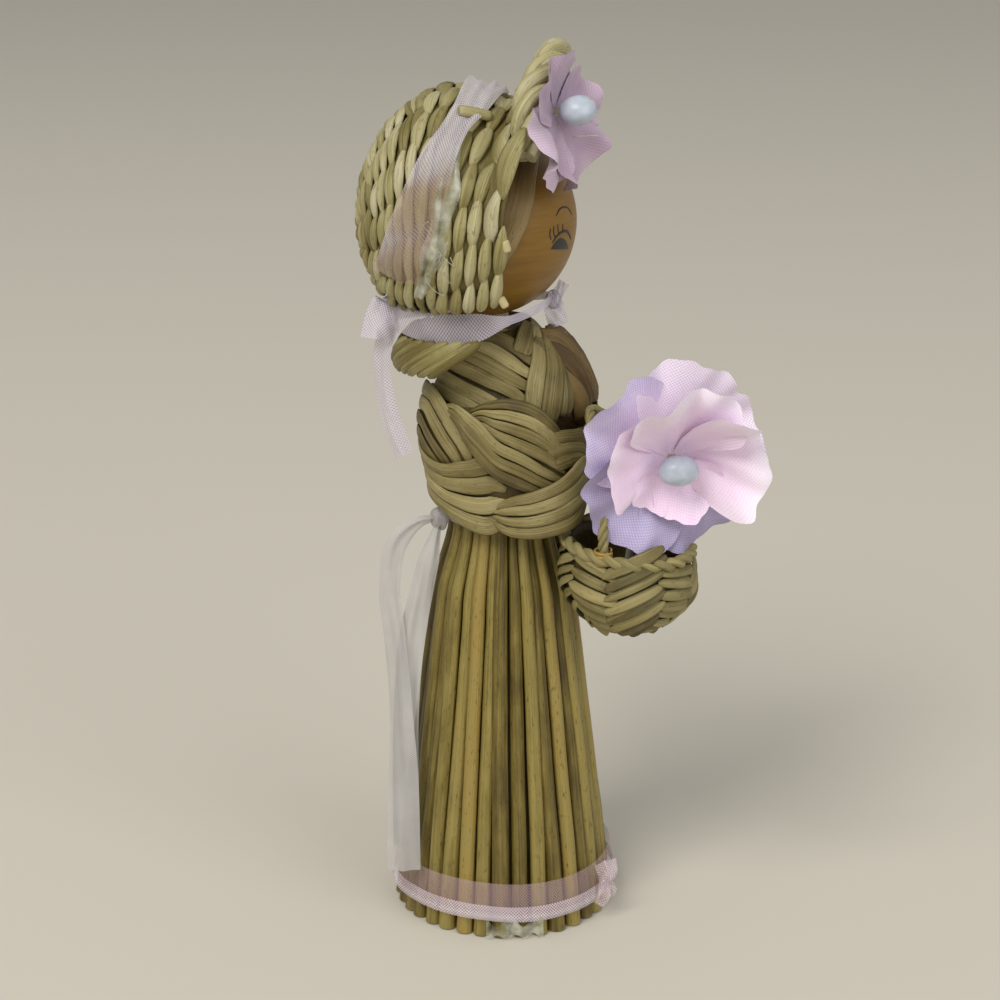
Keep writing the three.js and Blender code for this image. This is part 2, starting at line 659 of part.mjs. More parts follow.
// Cloth petals: a lobed, cupped and rippled ring about its own +Z axis
function petals({ radius, cup, ripple, base }) {
  const hole = WIRE_DIAMETER / 2 + GAP;
  return slab(PETALS_PER_RING * 6, 3, (u, v, side) => {
    const turn = 2 * Math.PI * u;
    const notch = Math.abs(Math.cos(PETALS_PER_RING * turn / 2)) ** 6;
    const edge = radius * (1 - PETAL_NOTCH * notch);
    const reach = lerp(hole, edge, v);
    const share = (reach / radius) ** 2;
    const height = base + share * (cup + ripple * Math.sin(2 * PETALS_PER_RING * turn));
    return vec(reach * Math.cos(turn), reach * Math.sin(turn), height + side * PETAL_THICKNESS);
  });
}

const facing = (normal) => new THREE.Quaternion().setFromUnitVectors(UP, normal);

function placed(geometry, centre, normal) {
  return geometry.applyQuaternion(facing(normal)).translate(centre.x, centre.y, centre.z);
}

// A bead on a wire, the wire running back through the petals along a path
function stamen(centre, normal, beadRadius, rise, path) {
  const middle = centre.clone().addScaledVector(normal, rise);
  const bead = lump(middle, beadRadius, BEAD_FLATNESS, facing(normal));
  return join(bead, tube([middle, ...path], WIRE_DIAMETER / 2, 9));
}

const beadRise = (beadRadius, petalFoot) => petalFoot + PETAL_THICKNESS + GAP + beadRadius;

// Bonnet flower, under the brim over the right side of the face
const bonnetFlowerFacing = vec(-0.55, -0.78, 0).normalize();
const flowerUp = degToRad(BONNET_FLOWER_UP_DEG);
const bonnetFlowerCentre = around(BONNET_FLOWER_RIGHT_DEG, Math.cos(flowerUp), Math.sin(flowerUp))
  .setLength(HEAD_RADIUS + BONNET_FLOWER_STANDOFF);
add(head, "bonnet_flower_petals", placed(
  petals({ radius: BONNET_FLOWER_RADIUS, cup: 3, ripple: 0.9, base: 0 }),
  bonnetFlowerCentre,
  bonnetFlowerFacing,
), PETAL_PINK);

const bonnetWireEnd = bonnetFlowerCentre.clone().setLength(HEAD_RADIUS + GAP);
add(head, "bonnet_flower_stamen", stamen(
  bonnetFlowerCentre,
  bonnetFlowerFacing,
  BONNET_FLOWER_BEAD,
  beadRise(BONNET_FLOWER_BEAD, 0),
  [
    bonnetFlowerCentre.clone(),
    bonnetFlowerCentre.clone().addScaledVector(bonnetFlowerFacing, -1.5),
    bonnetWireEnd,
  ],
), STAMEN);

// Basket: a plaited bowl in front of the skirt, hung by its handle over the joined hands
function basketProfile(share) {
  const bottom = Math.sin(Math.PI / 2 * clamp(share / BASKET_BELLY, 0, 1));
  const mouth = ease((share - BASKET_BELLY) / (1 - BASKET_BELLY));
  return lerp(BASKET_FLOOR_RADIUS, BASKET_RADIUS, bottom) - BASKET_DRAW_IN * mouth;
}

const basketRim = WAIST_HEIGHT - RIM_BELOW_WAIST;
const basketFoot = basketRim - BASKET_DEPTH;
const shares = Array.from({ length: 9 }, (_, i) => i / 8);
const skirtReach = (share) => skirtRadius(lerp(basketFoot, basketRim, share)) + basketProfile(share);
const basketCentre = -(Math.max(...shares.map(skirtReach)) + PLAIT_RELIEF + GAP);

function basketBowl() {
  const rows = 6;
  const columns = 30;
  const shellPoint = (u, v, side) => {
    const relief = side * ridge(10 * u + (Math.round(v * rows) % 2) * 0.5, 0.5);
    const radius = basketProfile(v) + relief - (1 - side) * BASKET_WALL;
    const foot = (1 - side) * BASKET_WALL * (1 - v);
    return around(360 * u, radius, lerp(basketFoot, basketRim, v) + foot);
  };
  const wall = slab(columns, rows, shellPoint);
  const floorRadius = basketProfile(0) - BASKET_WALL / 2;
  const floor = closedSkin(new THREE.CylinderGeometry(floorRadius, floorRadius, BASKET_WALL, columns));
  floor.rotateX(Math.PI / 2).translate(0, 0, basketFoot + BASKET_WALL / 2);
  return join(wall, floor).translate(0, basketCentre, 0);
}

add(doll, "basket", basketBowl(), PLAIT);

upper.updateWorldMatrix(true, false);
const handRadius = armSeat(HAND_RISE) + HAND_REACH + ARM_THICKNESS / 2;
const handCentre = upper.localToWorld(around(0, handRadius, HAND_RISE));
const handTop = upper.localToWorld(around(0, handRadius, HAND_RISE + HAND_HALF));

function basketHandle() {
  const apex = handTop.z + 3 * GAP + HANDLE_DIAMETER / 2;
  const half = [
    [1, 1, basketRim + GAP],
    [0.85, 0.85, lerp(basketRim, apex, 0.4)],
    [0.5, 0.4, lerp(basketRim, apex, 0.82)],
  ];
  const leg = (hand) => half.map(([out, ahead, z]) =>
    vec(hand * out * basketProfile(1) * HANDLE_SPREAD, lerp(handCentre.y, basketCentre, ahead), z));
  const path = [...leg(-1), vec(0, handCentre.y, apex), ...leg(1).reverse()];
  return tube(path, HANDLE_DIAMETER / 2, 20);
}

add(doll, "basket_handle", basketHandle(), PLAIT);

// Basket flower: two layers of petals on a wire that stands in the basket
const flowerFacing = around(FLOWER_TURN_DEG, 1, -0.06).normalize();
const flowerCentre = vec(0, basketCentre - FLOWER_AHEAD, basketRim + FLOWER_RISE);
add(doll, "basket_flower_outer_petals", placed(
  petals({ radius: FLOWER_RADIUS, cup: 2.6, ripple: 0.8, base: 0 }),
  flowerCentre,
  flowerFacing,
), PETAL_LILAC);
add(doll, "basket_flower_inner_petals", placed(
  petals({ radius: FLOWER_INNER_RADIUS, cup: 5.2, ripple: 1, base: PETAL_LAYER }),
  flowerCentre,
  flowerFacing,
), PETAL_PINK);
add(doll, "basket_flower_stamen", stamen(
  flowerCentre,
  flowerFacing,
  FLOWER_BEAD,
  beadRise(FLOWER_BEAD, PETAL_LAYER),
  [
    flowerCentre.clone(),
    flowerCentre.clone().addScaledVector(flowerFacing, -2.5),
    vec(0, lerp(flowerCentre.y, basketCentre, 0.75), lerp(flowerCentre.z, basketRim, 0.7)),
    vec(0, basketCentre, basketRim - 4),
    vec(0, basketCentre, basketFoot + BASKET_WALL + GAP),
  ],
), STAMEN);

// The origin is the middle of the footprint, on the surface that the doll stands on
const box = new THREE.Box3().setFromObject(doll, true);
const middle = box.getCenter(vec());
doll.position.set(-middle.x, -middle.y, -box.min.z);
doll.updateMatrixWorld(true);

const shown = (point) => point.toArray().map((value) => value.toFixed(2)).join(" ");
console.log("box", shown(box.getSize(vec())), "shift", shown(doll.position));
console.log("head pivot", shown(vec(0, 0, WAIST_HEIGHT).add(doll.position)));
console.log("basket pivot", shown(handCentre.clone().add(doll.position)));
console.log("basket centre", shown(vec(0, basketCentre, basketFoot).add(doll.position)));

export default doll;
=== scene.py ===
# %% [markdown]
# # A straw doll with a basket
# The doll is made of rush stems and leaves, with a wooden bead for a head, trims of sheer ribbon and a
# small plaited basket with a cloth flower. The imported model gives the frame: where each piece sits and
# which body it moves with. Each step below gives one part the shape and finish of the real one.
# The doll was measured in millimetres, so lengths stay in millimetres until a mesh is made.

import json
import math

import bmesh
import bpy
import numpy as np
from mathutils import Matrix, Vector

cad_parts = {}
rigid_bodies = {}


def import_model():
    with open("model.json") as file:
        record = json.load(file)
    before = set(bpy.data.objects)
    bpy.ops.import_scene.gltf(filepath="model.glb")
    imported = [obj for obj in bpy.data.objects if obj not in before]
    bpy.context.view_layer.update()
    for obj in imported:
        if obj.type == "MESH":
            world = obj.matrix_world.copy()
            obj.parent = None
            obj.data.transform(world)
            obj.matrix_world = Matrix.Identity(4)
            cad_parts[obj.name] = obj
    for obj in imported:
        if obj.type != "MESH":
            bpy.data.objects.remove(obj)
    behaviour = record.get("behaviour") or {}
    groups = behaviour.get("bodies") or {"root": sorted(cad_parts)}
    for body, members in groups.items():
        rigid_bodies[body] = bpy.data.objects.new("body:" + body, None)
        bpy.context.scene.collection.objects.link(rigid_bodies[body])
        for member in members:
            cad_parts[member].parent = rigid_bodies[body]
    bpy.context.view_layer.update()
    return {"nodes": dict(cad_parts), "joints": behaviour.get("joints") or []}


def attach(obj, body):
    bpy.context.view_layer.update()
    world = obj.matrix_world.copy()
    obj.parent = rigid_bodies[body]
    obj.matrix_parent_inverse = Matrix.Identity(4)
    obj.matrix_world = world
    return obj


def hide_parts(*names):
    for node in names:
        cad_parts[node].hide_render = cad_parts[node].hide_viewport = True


for leftover in list(bpy.data.objects):
    bpy.data.objects.remove(leftover)
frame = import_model()

# %% [markdown]
# ## Three frames
# The skirt stands upright, the upper body leans back along the peg inside it, and the head is turned on
# top of that. Every point could be written in the shared frame at once, but an arm is easier to measure
# along its own upright. So each part has a matrix that carries it to its place.

# %% Frames of the doll, its upper body and its head
MM = 0.001
WAIST = 64.0
HEAD_RISE = 44.8
HEAD_TURN = math.radians(22)

joints = {joint["name"]: joint for joint in frame["joints"]}
neck = joints["head_turn"]
axis_at = Vector((neck["pos_m"][0], neck["pos_m"][1], 0))
LEAN = math.asin(neck["axis"][1])
DOLL = Matrix.Translation(axis_at)
UPPER = DOLL @ Matrix.Translation((0, 0, WAIST * MM)) @ Matrix.Rotation(-LEAN, 4, "X")
HEAD = UPPER @ Matrix.Translation((0, 0, HEAD_RISE * MM)) @ Matrix.Rotation(HEAD_TURN, 4, "Z")
print("skirt axis", axis_at, "lean", round(math.degrees(LEAN), 2))

# %% [markdown]
# ## Camera
# The photograph was taken from the doll's right side and a little above it. A camera could be moved by
# hand until the view fits. Here an angle, a distance, a height and a pitch place it, so that each can be
# changed alone, and the lens comes from how large the doll stands in the picture.

# %% Camera
CAMERA_AZIMUTH = math.radians(62)
CAMERA_PITCH = math.radians(17.1)
CAMERA_DISTANCE, CAMERA_HEIGHT, CAMERA_ASIDE = 326.0, 166.0, 0.65
FOCAL_PIXELS, FRAME_PIXELS = 2225.0, 1000.0
SENSOR_WIDTH = 36.0


def stand_camera():
    to_camera = Vector((-math.sin(CAMERA_AZIMUTH), -math.cos(CAMERA_AZIMUTH), 0))
    right = Vector((math.cos(CAMERA_AZIMUTH), -math.sin(CAMERA_AZIMUTH), 0))
    place = to_camera * CAMERA_DISTANCE - right * CAMERA_ASIDE + Vector((0, 0, CAMERA_HEIGHT))
    back = to_camera * math.cos(CAMERA_PITCH) + Vector((0, 0, math.sin(CAMERA_PITCH)))
    turn = Matrix((right, back.cross(right), back)).transposed().to_4x4()
    camera = bpy.data.objects.new("camera", bpy.data.cameras.new("camera"))
    camera.data.sensor_width = SENSOR_WIDTH
    camera.data.lens = FOCAL_PIXELS / FRAME_PIXELS * SENSOR_WIDTH
    camera.data.clip_start = 0.01
    camera.matrix_world = DOLL @ Matrix.Translation(place * MM) @ turn
    bpy.context.scene.collection.objects.link(camera)
    bpy.context.scene.camera = camera


stand_camera()
print("camera", [round(v, 4) for v in bpy.context.scene.camera.location])

# %% [markdown]
# ## Floor
# A plain pale floor catches the doll's shadow, so that it stands and does not float. A shadow catcher
# could hide the floor itself. One large square that shows is simpler.

# %% Floor
FLOOR_HALF = 6.0
FLOOR_COLOUR = (0.66, 0.625, 0.54)


def lay_floor():
    mesh = bpy.data.meshes.new("floor")
    corners = [(x * FLOOR_HALF, y * FLOOR_HALF, 0) for x, y in ((-1, -1), (1, -1), (1, 1), (-1, 1))]
    mesh.from_pydata(corners, [], [(0, 1, 2, 3)])
    floor = bpy.data.objects.new("floor", mesh)
    bpy.context.scene.collection.objects.link(floor)
    material = bpy.data.materials.new("floor")
    material.use_nodes = True
    shader = material.node_tree.nodes["Principled BSDF"]
    shader.inputs["Base Color"].default_value = (*FLOOR_COLOUR, 1)
    shader.inputs["Roughness"].default_value = 0.7
    mesh.materials.append(material)
    print("floor", 2 * FLOOR_HALF, "m wide")


lay_floor()

# %% [markdown]
# ## Light
# Soft daylight shows straw best. A sun lamp would cut hard shadows into the fine plaits, so two large
# discs are used: a warm one from the right, and a weaker one that lifts the dark side. A dim world fills
# the rest, at a level where a colour renders as it is written.

# %% Light
LAMP_AIM = Vector((0, 0, 0.07))
WORLD_COLOUR, WORLD_STRENGTH = (1, 0.98, 0.95, 1), 0.4


def area_light(name, place, size, watts, colour):
    light = bpy.data.lights.new(name, "AREA")
    light.shape = "DISK"
    light.size = size
    light.energy = watts
    light.color = colour
    lamp = bpy.data.objects.new(name, light)
    lamp.location = place
    lamp.rotation_euler = (LAMP_AIM - lamp.location).to_track_quat("-Z", "Y").to_euler()
    bpy.context.scene.collection.objects.link(lamp)


area_light("key", (-1.3, 0.1, 1.45), 1.0, 22.0, (1, 0.97, 0.92))
area_light("fill", (-0.5, -1.5, 0.9), 1.4, 9.0, (0.97, 0.98, 1))
world = bpy.data.worlds.new("studio")
world.use_nodes = True
world.node_tree.nodes["Background"].inputs["Color"].default_value = WORLD_COLOUR
world.node_tree.nodes["Background"].inputs["Strength"].default_value = WORLD_STRENGTH
bpy.context.scene.world = world
bpy.context.scene.view_settings.view_transform = "Standard"
print("lamps", [lamp.name for lamp in bpy.data.lights])

# %% [markdown]
# ## Nodes in few words
# Straw, cloth and wood are patterns laid over each other, and in Blender such a pattern is a tree of
# nodes. The trees could be linked by hand in the node editor. These helpers add a node, fill its inputs
# and hand back its output, so that a finish below reads like a sum.

# %% Node helpers


def node(tree, kind, inputs=None, **settings):
    """Adds a node, sets it up, and links or fills its inputs."""
    made = tree.nodes.new(kind)
    for key, value in settings.items():
        setattr(made, key, value)
    for key, value in (inputs or {}).items():
        if isinstance(value, bpy.types.NodeSocket):
            tree.links.new(value, made.inputs[key])
        else:
            made.inputs[key].default_value = value
    return made


def result(tree, kind, inputs=None, **settings):
    """The first output of a new node."""
    return node(tree, kind, inputs, **settings).outputs[0]


def maths(tree, operation, *values):
    return result(tree, "ShaderNodeMath", dict(enumerate(values)), operation=operation)


def vector_maths(tree, operation, a, b):
    second = "Scale" if operation == "SCALE" else 1
    return result(tree, "ShaderNodeVectorMath", {0: a, second: b}, operation=operation)


def remap(tree, value, low, high, to_low=0.0, to_high=1.0):
    return result(tree, "ShaderNodeMapRange", {0: value, 1: low, 2: high, 3: to_low, 4: to_high})


def centred(tree, pattern, strength):
    """A pattern from 0 to 1, as a push down or up of this strength."""
    return maths(tree, "MULTIPLY", maths(tree, "SUBTRACT", pattern, 0.5), strength)


# %% [markdown]
# ## Patterns for the finishes
# Every mesh of straw or cloth carries two attributes. `grain` runs along and across the fibre in
# millimetres, so that streaks and threads follow the piece. `tone` picks a shade, so that no two stems
# are alike. A texture on the object's place could not do that, because stems lie in every direction.

# %% Pattern helpers


def noise(tree, vector, stretch, detail=2.0):
    scaled = vector_maths(tree, "MULTIPLY", vector, stretch)
    return result(tree, "ShaderNodeTexNoise", {"Vector": scaled, "Scale": 1.0, "Detail": detail})


def ramp(tree, factor, stops):
    made = node(tree, "ShaderNodeValToRGB", {"Fac": factor})
    elements = made.color_ramp.elements
    while len(elements) < len(stops):
        elements.new(0.5)
    for element, (position, colour) in zip(elements, stops):
        element.position = position
        element.color = (*colour, 1)
    return made.outputs["Color"]


def blend(tree, factor, a, b):
    a, b = [end if isinstance(end, bpy.types.NodeSocket) else (*end, 1) for end in (a, b)]
    return node(tree, "ShaderNodeMix", {"Factor": factor, 6: a, 7: b}, data_type="RGBA").outputs[2]


def bump(tree, height, strength, distance):
    return result(tree, "ShaderNodeBump", {"Height": height, "Strength": strength, "Distance": distance})


def fibre_attributes(tree):
    tone = node(tree, "ShaderNodeAttribute", attribute_name="tone").outputs["Fac"]
    grain = node(tree, "ShaderNodeAttribute", attribute_name="grain").outputs["Vector"]
    return tone, grain


def blank(name, roughness, specular=0.4):
    """A new material, its tree and its shader."""
    material = bpy.data.materials.new(name)
    material.use_nodes = True
    shader = material.node_tree.nodes["Principled BSDF"]
    shader.inputs["Roughness"].default_value = roughness
    shader.inputs["Specular IOR Level"].default_value = specular
    return material, material.node_tree, shader


# %% [markdown]
# ## Dried rush and leaf
# Dried rush is ochre with a green cast, streaked along its fibre, finely ribbed, and flecked with brown
# where it was bruised. A picture of straw could be wrapped round each stem, but it would repeat. Four
# layers of noise, stretched along the grain, make every stem different.

# %% Straw
STREAK, BLOTCH, FLECKS = (0.07, 1.7, 1.0), (0.16, 0.22, 1.0), (0.9, 2.6, 1.0)
FLECK = (0.055, 0.030, 0.008)


def straw(name, colours, flecked, roughness, ribs, fleck=FLECK):
    material, tree, shader = blank(name, roughness)
    tone, grain = fibre_attributes(tree)
    streak = noise(tree, grain, STREAK, 3.0)
    blotch = noise(tree, grain, BLOTCH)
    fine = noise(tree, grain, (0.05, 0.9 * ribs, 1.0))
    shade = maths(tree, "ADD", maths(tree, "MULTIPLY", tone, 0.62), maths(tree, "MULTIPLY", streak, 0.4))
    for pattern, strength in ((fine, 0.55), (blotch, 0.6)):
        shade = maths(tree, "ADD", shade, centred(tree, pattern, strength))
    base = ramp(tree, shade, list(zip(np.linspace(0.15, 0.9, len(colours)), colours)))
    spots = maths(tree, "MULTIPLY", remap(tree, noise(tree, grain, FLECKS), 0.6, 0.72), flecked)
    tree.links.new(blend(tree, spots, base, fleck), shader.inputs["Base Color"])
    height = noise(tree, grain, (0.04, ribs, 1.0))
    tree.links.new(bump(tree, height, 0.7, 0.0003), shader.inputs["Normal"])
    return material


# %% [markdown]
# ## Straws of the doll
# The stems are darkest, the leaves paler, the bonnet's plait the palest, and the leaves of the chest and
# the hair are brown. One picture per piece could hold that. A short ramp of colours for each straw is
# enough, since the tone of a strip moves it along the ramp.

# %% Straws
STEM_COLOURS = [(0.084, 0.058, 0.011), (0.196, 0.148, 0.033), (0.302, 0.241, 0.068), (0.336, 0.230, 0.057)]
LEAF_COLOURS = [(0.070, 0.048, 0.012), (0.188, 0.148, 0.047), (0.316, 0.264, 0.109), (0.430, 0.365, 0.172)]
BROWN_COLOURS = [(0.085, 0.050, 0.013), (0.180, 0.115, 0.036), (0.270, 0.180, 0.065), (0.330, 0.235, 0.100)]
PLAIT_COLOURS = [(0.150, 0.118, 0.029), (0.285, 0.246, 0.092), (0.430, 0.388, 0.198), (0.560, 0.520, 0.345)]
BASKET_COLOURS = [(0.070, 0.052, 0.014), (0.188, 0.155, 0.053), (0.300, 0.256, 0.108), (0.372, 0.306, 0.118)]
GOLD_COLOURS = [(0.22, 0.12, 0.02), (0.42, 0.26, 0.06)]
TWINE_COLOURS = [(0.30, 0.24, 0.13), (0.42, 0.34, 0.19)]
rush = straw("rush_stem", STEM_COLOURS, 0.6, 0.42, 3.0)
leaf = straw("rush_leaf", LEAF_COLOURS, 0.4, 0.5, 7.0)
brown_leaf = straw("brown_leaf", BROWN_COLOURS, 0.4, 0.5, 7.0)
gold_strand = straw("gold_strand", GOLD_COLOURS, 0.2, 0.4, 5.0)
plait = straw("plaited_rush", PLAIT_COLOURS, 0.4, 0.5, 5.0)
basket_rush = straw("basket_rush", BASKET_COLOURS, 0.45, 0.55, 5.0)
twine = straw("twine", TWINE_COLOURS, 0.2, 0.8, 6.0, (0.2, 0.14, 0.07))
print("straw", len(bpy.data.materials), "materials")

# %% [markdown]
# ## Woven cloth
# The petals are stiff cloth and the ribbons are sheer. In both the threads can be seen. Real threads
# would take millions of faces, so two sine waves that cross make the weave in the material. On a sheer
# ribbon the places between the threads are partly open.

# %% Cloth
COTTON_PITCH, RIBBON_PITCH, FINE_PITCH = 0.5, 0.5, 0.34
CLOTH_SPECULAR, CLOTH_SHEEN, SHEEN_ROUGHNESS = 0.3, 0.3, 0.5


def weave(name, stops, pitch, gap_shade, alpha=None, roughness=0.6):
    """Threads cross at a pitch, and between them the cloth is darker, or open by alpha."""
    material, tree, shader = blank(name, roughness, CLOTH_SPECULAR)
    tone, grain = fibre_attributes(tree)
    ways = node(tree, "ShaderNodeSeparateXYZ", {0: grain}).outputs
    turns = [maths(tree, "MULTIPLY", ways[k], 2 * math.pi / pitch) for k in (0, 1)]
    warp, weft = [maths(tree, "SINE", turn) for turn in turns]
    thread = maths(tree, "MULTIPLY_ADD", maths(tree, "MULTIPLY", warp, weft), 0.5, 0.5)
    cloud = noise(tree, grain, (0.22, 0.22, 0.22))
    base = ramp(tree, maths(tree, "ADD", tone, centred(tree, cloud, 0.5)), stops)
    dark = vector_maths(tree, "MULTIPLY", base, gap_shade)
    tree.links.new(blend(tree, thread, dark, base), shader.inputs["Base Color"])
    tree.links.new(bump(tree, thread, 0.35, 0.0001), shader.inputs["Normal"])
    shader.inputs["Sheen Weight"].default_value = CLOTH_SHEEN
    shader.inputs["Sheen Roughness"].default_value = SHEEN_ROUGHNESS
    if alpha:
        closer = maths(tree, "MULTIPLY_ADD", tone, 0.9, 0.5)
        cover = maths(tree, "MULTIPLY", remap(tree, thread, 0.0, 1.0, *alpha), closer)
        tree.links.new(cover, shader.inputs["Alpha"])
    return material


# %% [markdown]
# ## Cloths of the doll
# The petals were dyed unevenly, from violet to a pale pink edge, and the lower lilac ones are painted
# darker as shade. The sash is white, the hem trim rose, the ribbon on the crown pink with straw stains,
# and the neck ribbon lilac. As with straw, each cloth is a ramp of colours, so a stain, a blush or a
# painted shade is only a change of tone.

# %% Cloths
PETAL_STOPS = [(0.0, (0.46, 0.41, 0.64)), (0.2, (0.73, 0.65, 0.92)), (0.4, (0.86, 0.74, 0.93)),
               (0.65, (0.97, 0.76, 0.93)), (1.0, (0.99, 0.91, 1.0))]
LILAC_STOPS = [(0.0, (0.46, 0.42, 0.61)), (0.2, (0.60, 0.55, 0.78)), (0.45, (0.88, 0.80, 0.98)),
               (0.7, (0.98, 0.81, 0.94)), (1.0, (0.99, 0.90, 0.98))]
# Painted shade: a darker copy of the petal colours, for the flower under the brim.
SHADED_STOPS = [(0.0, (0.37, 0.30, 0.44)), (0.5, (0.52, 0.39, 0.50)), (1.0, (0.72, 0.58, 0.69))]
WHITE_STOPS = [(0.2, (0.385, 0.372, 0.355)), (0.8, (0.59, 0.57, 0.55))]
ROSE_STOPS = [(0.0, (0.66, 0.44, 0.45)), (1.0, (0.84, 0.76, 0.82))]
PINK_STOPS = [(0.0, (0.46, 0.30, 0.18)), (0.35, (0.58, 0.44, 0.38)), (0.6, (0.68, 0.63, 0.66)),
              (1.0, (0.84, 0.80, 0.84))]
PALE_LILAC_STOPS = [(0.2, (0.54, 0.49, 0.54)), (0.9, (0.80, 0.75, 0.81))]
petal_cloth = weave("petal_cloth", PETAL_STOPS, COTTON_PITCH, (0.88, 0.84, 0.92))
lilac_cloth = weave("lilac_cloth", LILAC_STOPS, COTTON_PITCH, (0.68, 0.62, 0.75))
shaded_cloth = weave("shaded_cloth", SHADED_STOPS, COTTON_PITCH, (0.78, 0.74, 0.82))
sheer_white = weave("sheer_white", WHITE_STOPS, FINE_PITCH, (0.88, 0.88, 0.9), (0.6, 0.88), 0.45)
sheer_rose = weave("sheer_rose", ROSE_STOPS, RIBBON_PITCH, (0.8, 0.78, 0.84), (0.15, 0.8), 0.45)
sheer_pink = weave("sheer_pink", PINK_STOPS, RIBBON_PITCH, (0.75, 0.74, 0.8), (0.3, 0.8), 0.45)
sheer_lilac = weave("sheer_lilac", PALE_LILAC_STOPS, RIBBON_PITCH, (0.7, 0.68, 0.77), (0.45, 0.9), 0.45)
print("straw and cloth", len(bpy.data.materials), "materials")

# %% [markdown]
# ## Wood and paint
# The bead is turned wood, warm, smooth and faintly streaked. The peg does not show and is taken as bare
# wood. An attribute along the fibre is not needed here: both are solid, so the pattern follows the
# place in the object, as growth rings do. The paint is one colour, a little worn.

# %% Wood and paint
WORN = (900, 900, 900)


def turned_wood(name, colours, roughness, stretch):
    material, tree, shader = blank(name, roughness)
    place = node(tree, "ShaderNodeTexCoord").outputs["Object"]
    streak = noise(tree, place, stretch, 4.0)
    rings = noise(tree, place, tuple(0.22 * v for v in stretch))
    shade = maths(tree, "ADD", maths(tree, "MULTIPLY", streak, 0.55), maths(tree, "MULTIPLY", rings, 0.45))
    tree.links.new(ramp(tree, shade, list(zip((0.3, 0.5, 0.7), colours))), shader.inputs["Base Color"])
    tree.links.new(bump(tree, streak, 0.15, 0.0001), shader.inputs["Normal"])
    return material


def paint(name, colour, roughness=0.35):
    material, tree, shader = blank(name, roughness)
    worn = noise(tree, node(tree, "ShaderNodeTexCoord").outputs["Object"], WORN, 3.0)
    paler = tuple(min(1, 1.5 * v + 0.01) for v in colour)
    tree.links.new(blend(tree, worn, colour, paler), shader.inputs["Base Color"])
    return material


BEAD_COLOURS = [(0.190, 0.094, 0.012), (0.236, 0.122, 0.017), (0.274, 0.154, 0.026)]
PEG_COLOURS = [(0.45, 0.32, 0.17), (0.58, 0.43, 0.25), (0.64, 0.49, 0.30)]
bead_wood = turned_wood("bead_wood", BEAD_COLOURS, 0.42, (160, 160, 1500))
peg_wood = turned_wood("peg_wood", PEG_COLOURS, 0.6, (900, 900, 90))
black_paint = paint("black_paint", (0.012, 0.011, 0.012))
stamen_bead = paint("stamen_bead", (0.378, 0.425, 0.488), 0.3)
stamen_wire = paint("stamen_wire", (0.36, 0.34, 0.26), 0.5)
print("all", len(bpy.data.materials), "materials")

# %% [markdown]
# ## Points and curves
# A leaf on the doll is known by a few points, read off as an angle from the front and a height. They
# could be the control points of a Bezier curve. Here they become arrays of points, because a whole row
# of numbers can then be bent, blended or lifted in one line.

# %% Point helpers


def lerp(a, b, t):
    return a + (b - a) * t


def ease(t):
    t = np.clip(t, 0, 1)
    return t * t * (3 - 2 * t)


def unit(vectors):
    return vectors / np.maximum(np.linalg.norm(vectors, axis=-1, keepdims=True), 1e-9)


def stack(*parts):
    return np.stack(np.broadcast_arrays(*parts), -1)


def around(angle_deg, radius, height):
    """Points at an angle from the front, growing towards the doll's right side."""
    angle = np.radians(angle_deg)
    return stack(-radius * np.sin(angle), -radius * np.cos(angle), height).astype(float)


def lengths_along(points):
    return np.concatenate([[0], np.cumsum(np.linalg.norm(np.diff(points, axis=0), axis=1))])


def smooth(points, count):
    """A smooth curve through a few points, as count points an equal way apart."""
    points = np.asarray(points, float)
    knots = lengths_along(points)
    slopes = np.gradient(points, knots, axis=0)
    at = np.linspace(0, knots[-1], count)
    k = np.clip(np.searchsorted(knots, at, side="right") - 1, 0, len(knots) - 2)
    step = (knots[k + 1] - knots[k])[:, None]
    s = ((at - knots[k]) / step[:, 0])[:, None]
    start = (1 + 2 * s) * (1 - s) ** 2 * points[k] + s * (1 - s) ** 2 * step * slopes[k]
    return start + s * s * (3 - 2 * s) * points[k + 1] + s * s * (s - 1) * step * slopes[k + 1]


print("front and right", around(np.array([0, 90]), 1.0, 0.0).round(2).tolist())

# %% [markdown]
# ## From a mesh to a piece
# A finished mesh needs the same few steps each time: its place, faces that look outwards, smooth
# shading, a material, and the body that it rides on. The place goes into the mesh and not into the
# object, so that a pattern on object coordinates stays where it is.

# %% Dress a mesh


def keep(mesh, label, kind, values):
    """Stores a value at each point of a mesh."""
    field = "vector" if kind == "FLOAT_VECTOR" else "value"
    numbers = np.concatenate(values).astype(np.int32 if kind == "INT" else np.float32)
    mesh.attributes.new(label, kind, "POINT").data.foreach_set(field, numbers.ravel())


def dress(name, mesh, material, place, body, nodes=(), solid=True):
    """Puts a mesh in the shared frame, on its body and in the place of the model's nodes."""
    mesh.transform(place)
    if solid:
        work = bmesh.new()
        work.from_mesh(mesh)
        bmesh.ops.recalc_face_normals(work, faces=work.faces)
        work.to_mesh(mesh)
        work.free()
    mesh.shade_smooth()
    mesh.materials.clear()
    mesh.materials.append(material)
    piece = bpy.data.objects.new(name, mesh)
    bpy.context.scene.collection.objects.link(piece)
    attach(piece, body)
    if nodes:
        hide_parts(*nodes)
    print(name, len(mesh.polygons), "faces")
    return piece


# %% [markdown]
# ## Bundles of strips
# Leaves, plait stitches, ribbons and petals are all strips or sheets, and many of them make one piece.
# Each could be an object that is joined later. A bundle gathers them as rows and columns of points and
# makes one mesh at the end, which is faster and keeps the grain and tone of every strip.

# %% Bundle


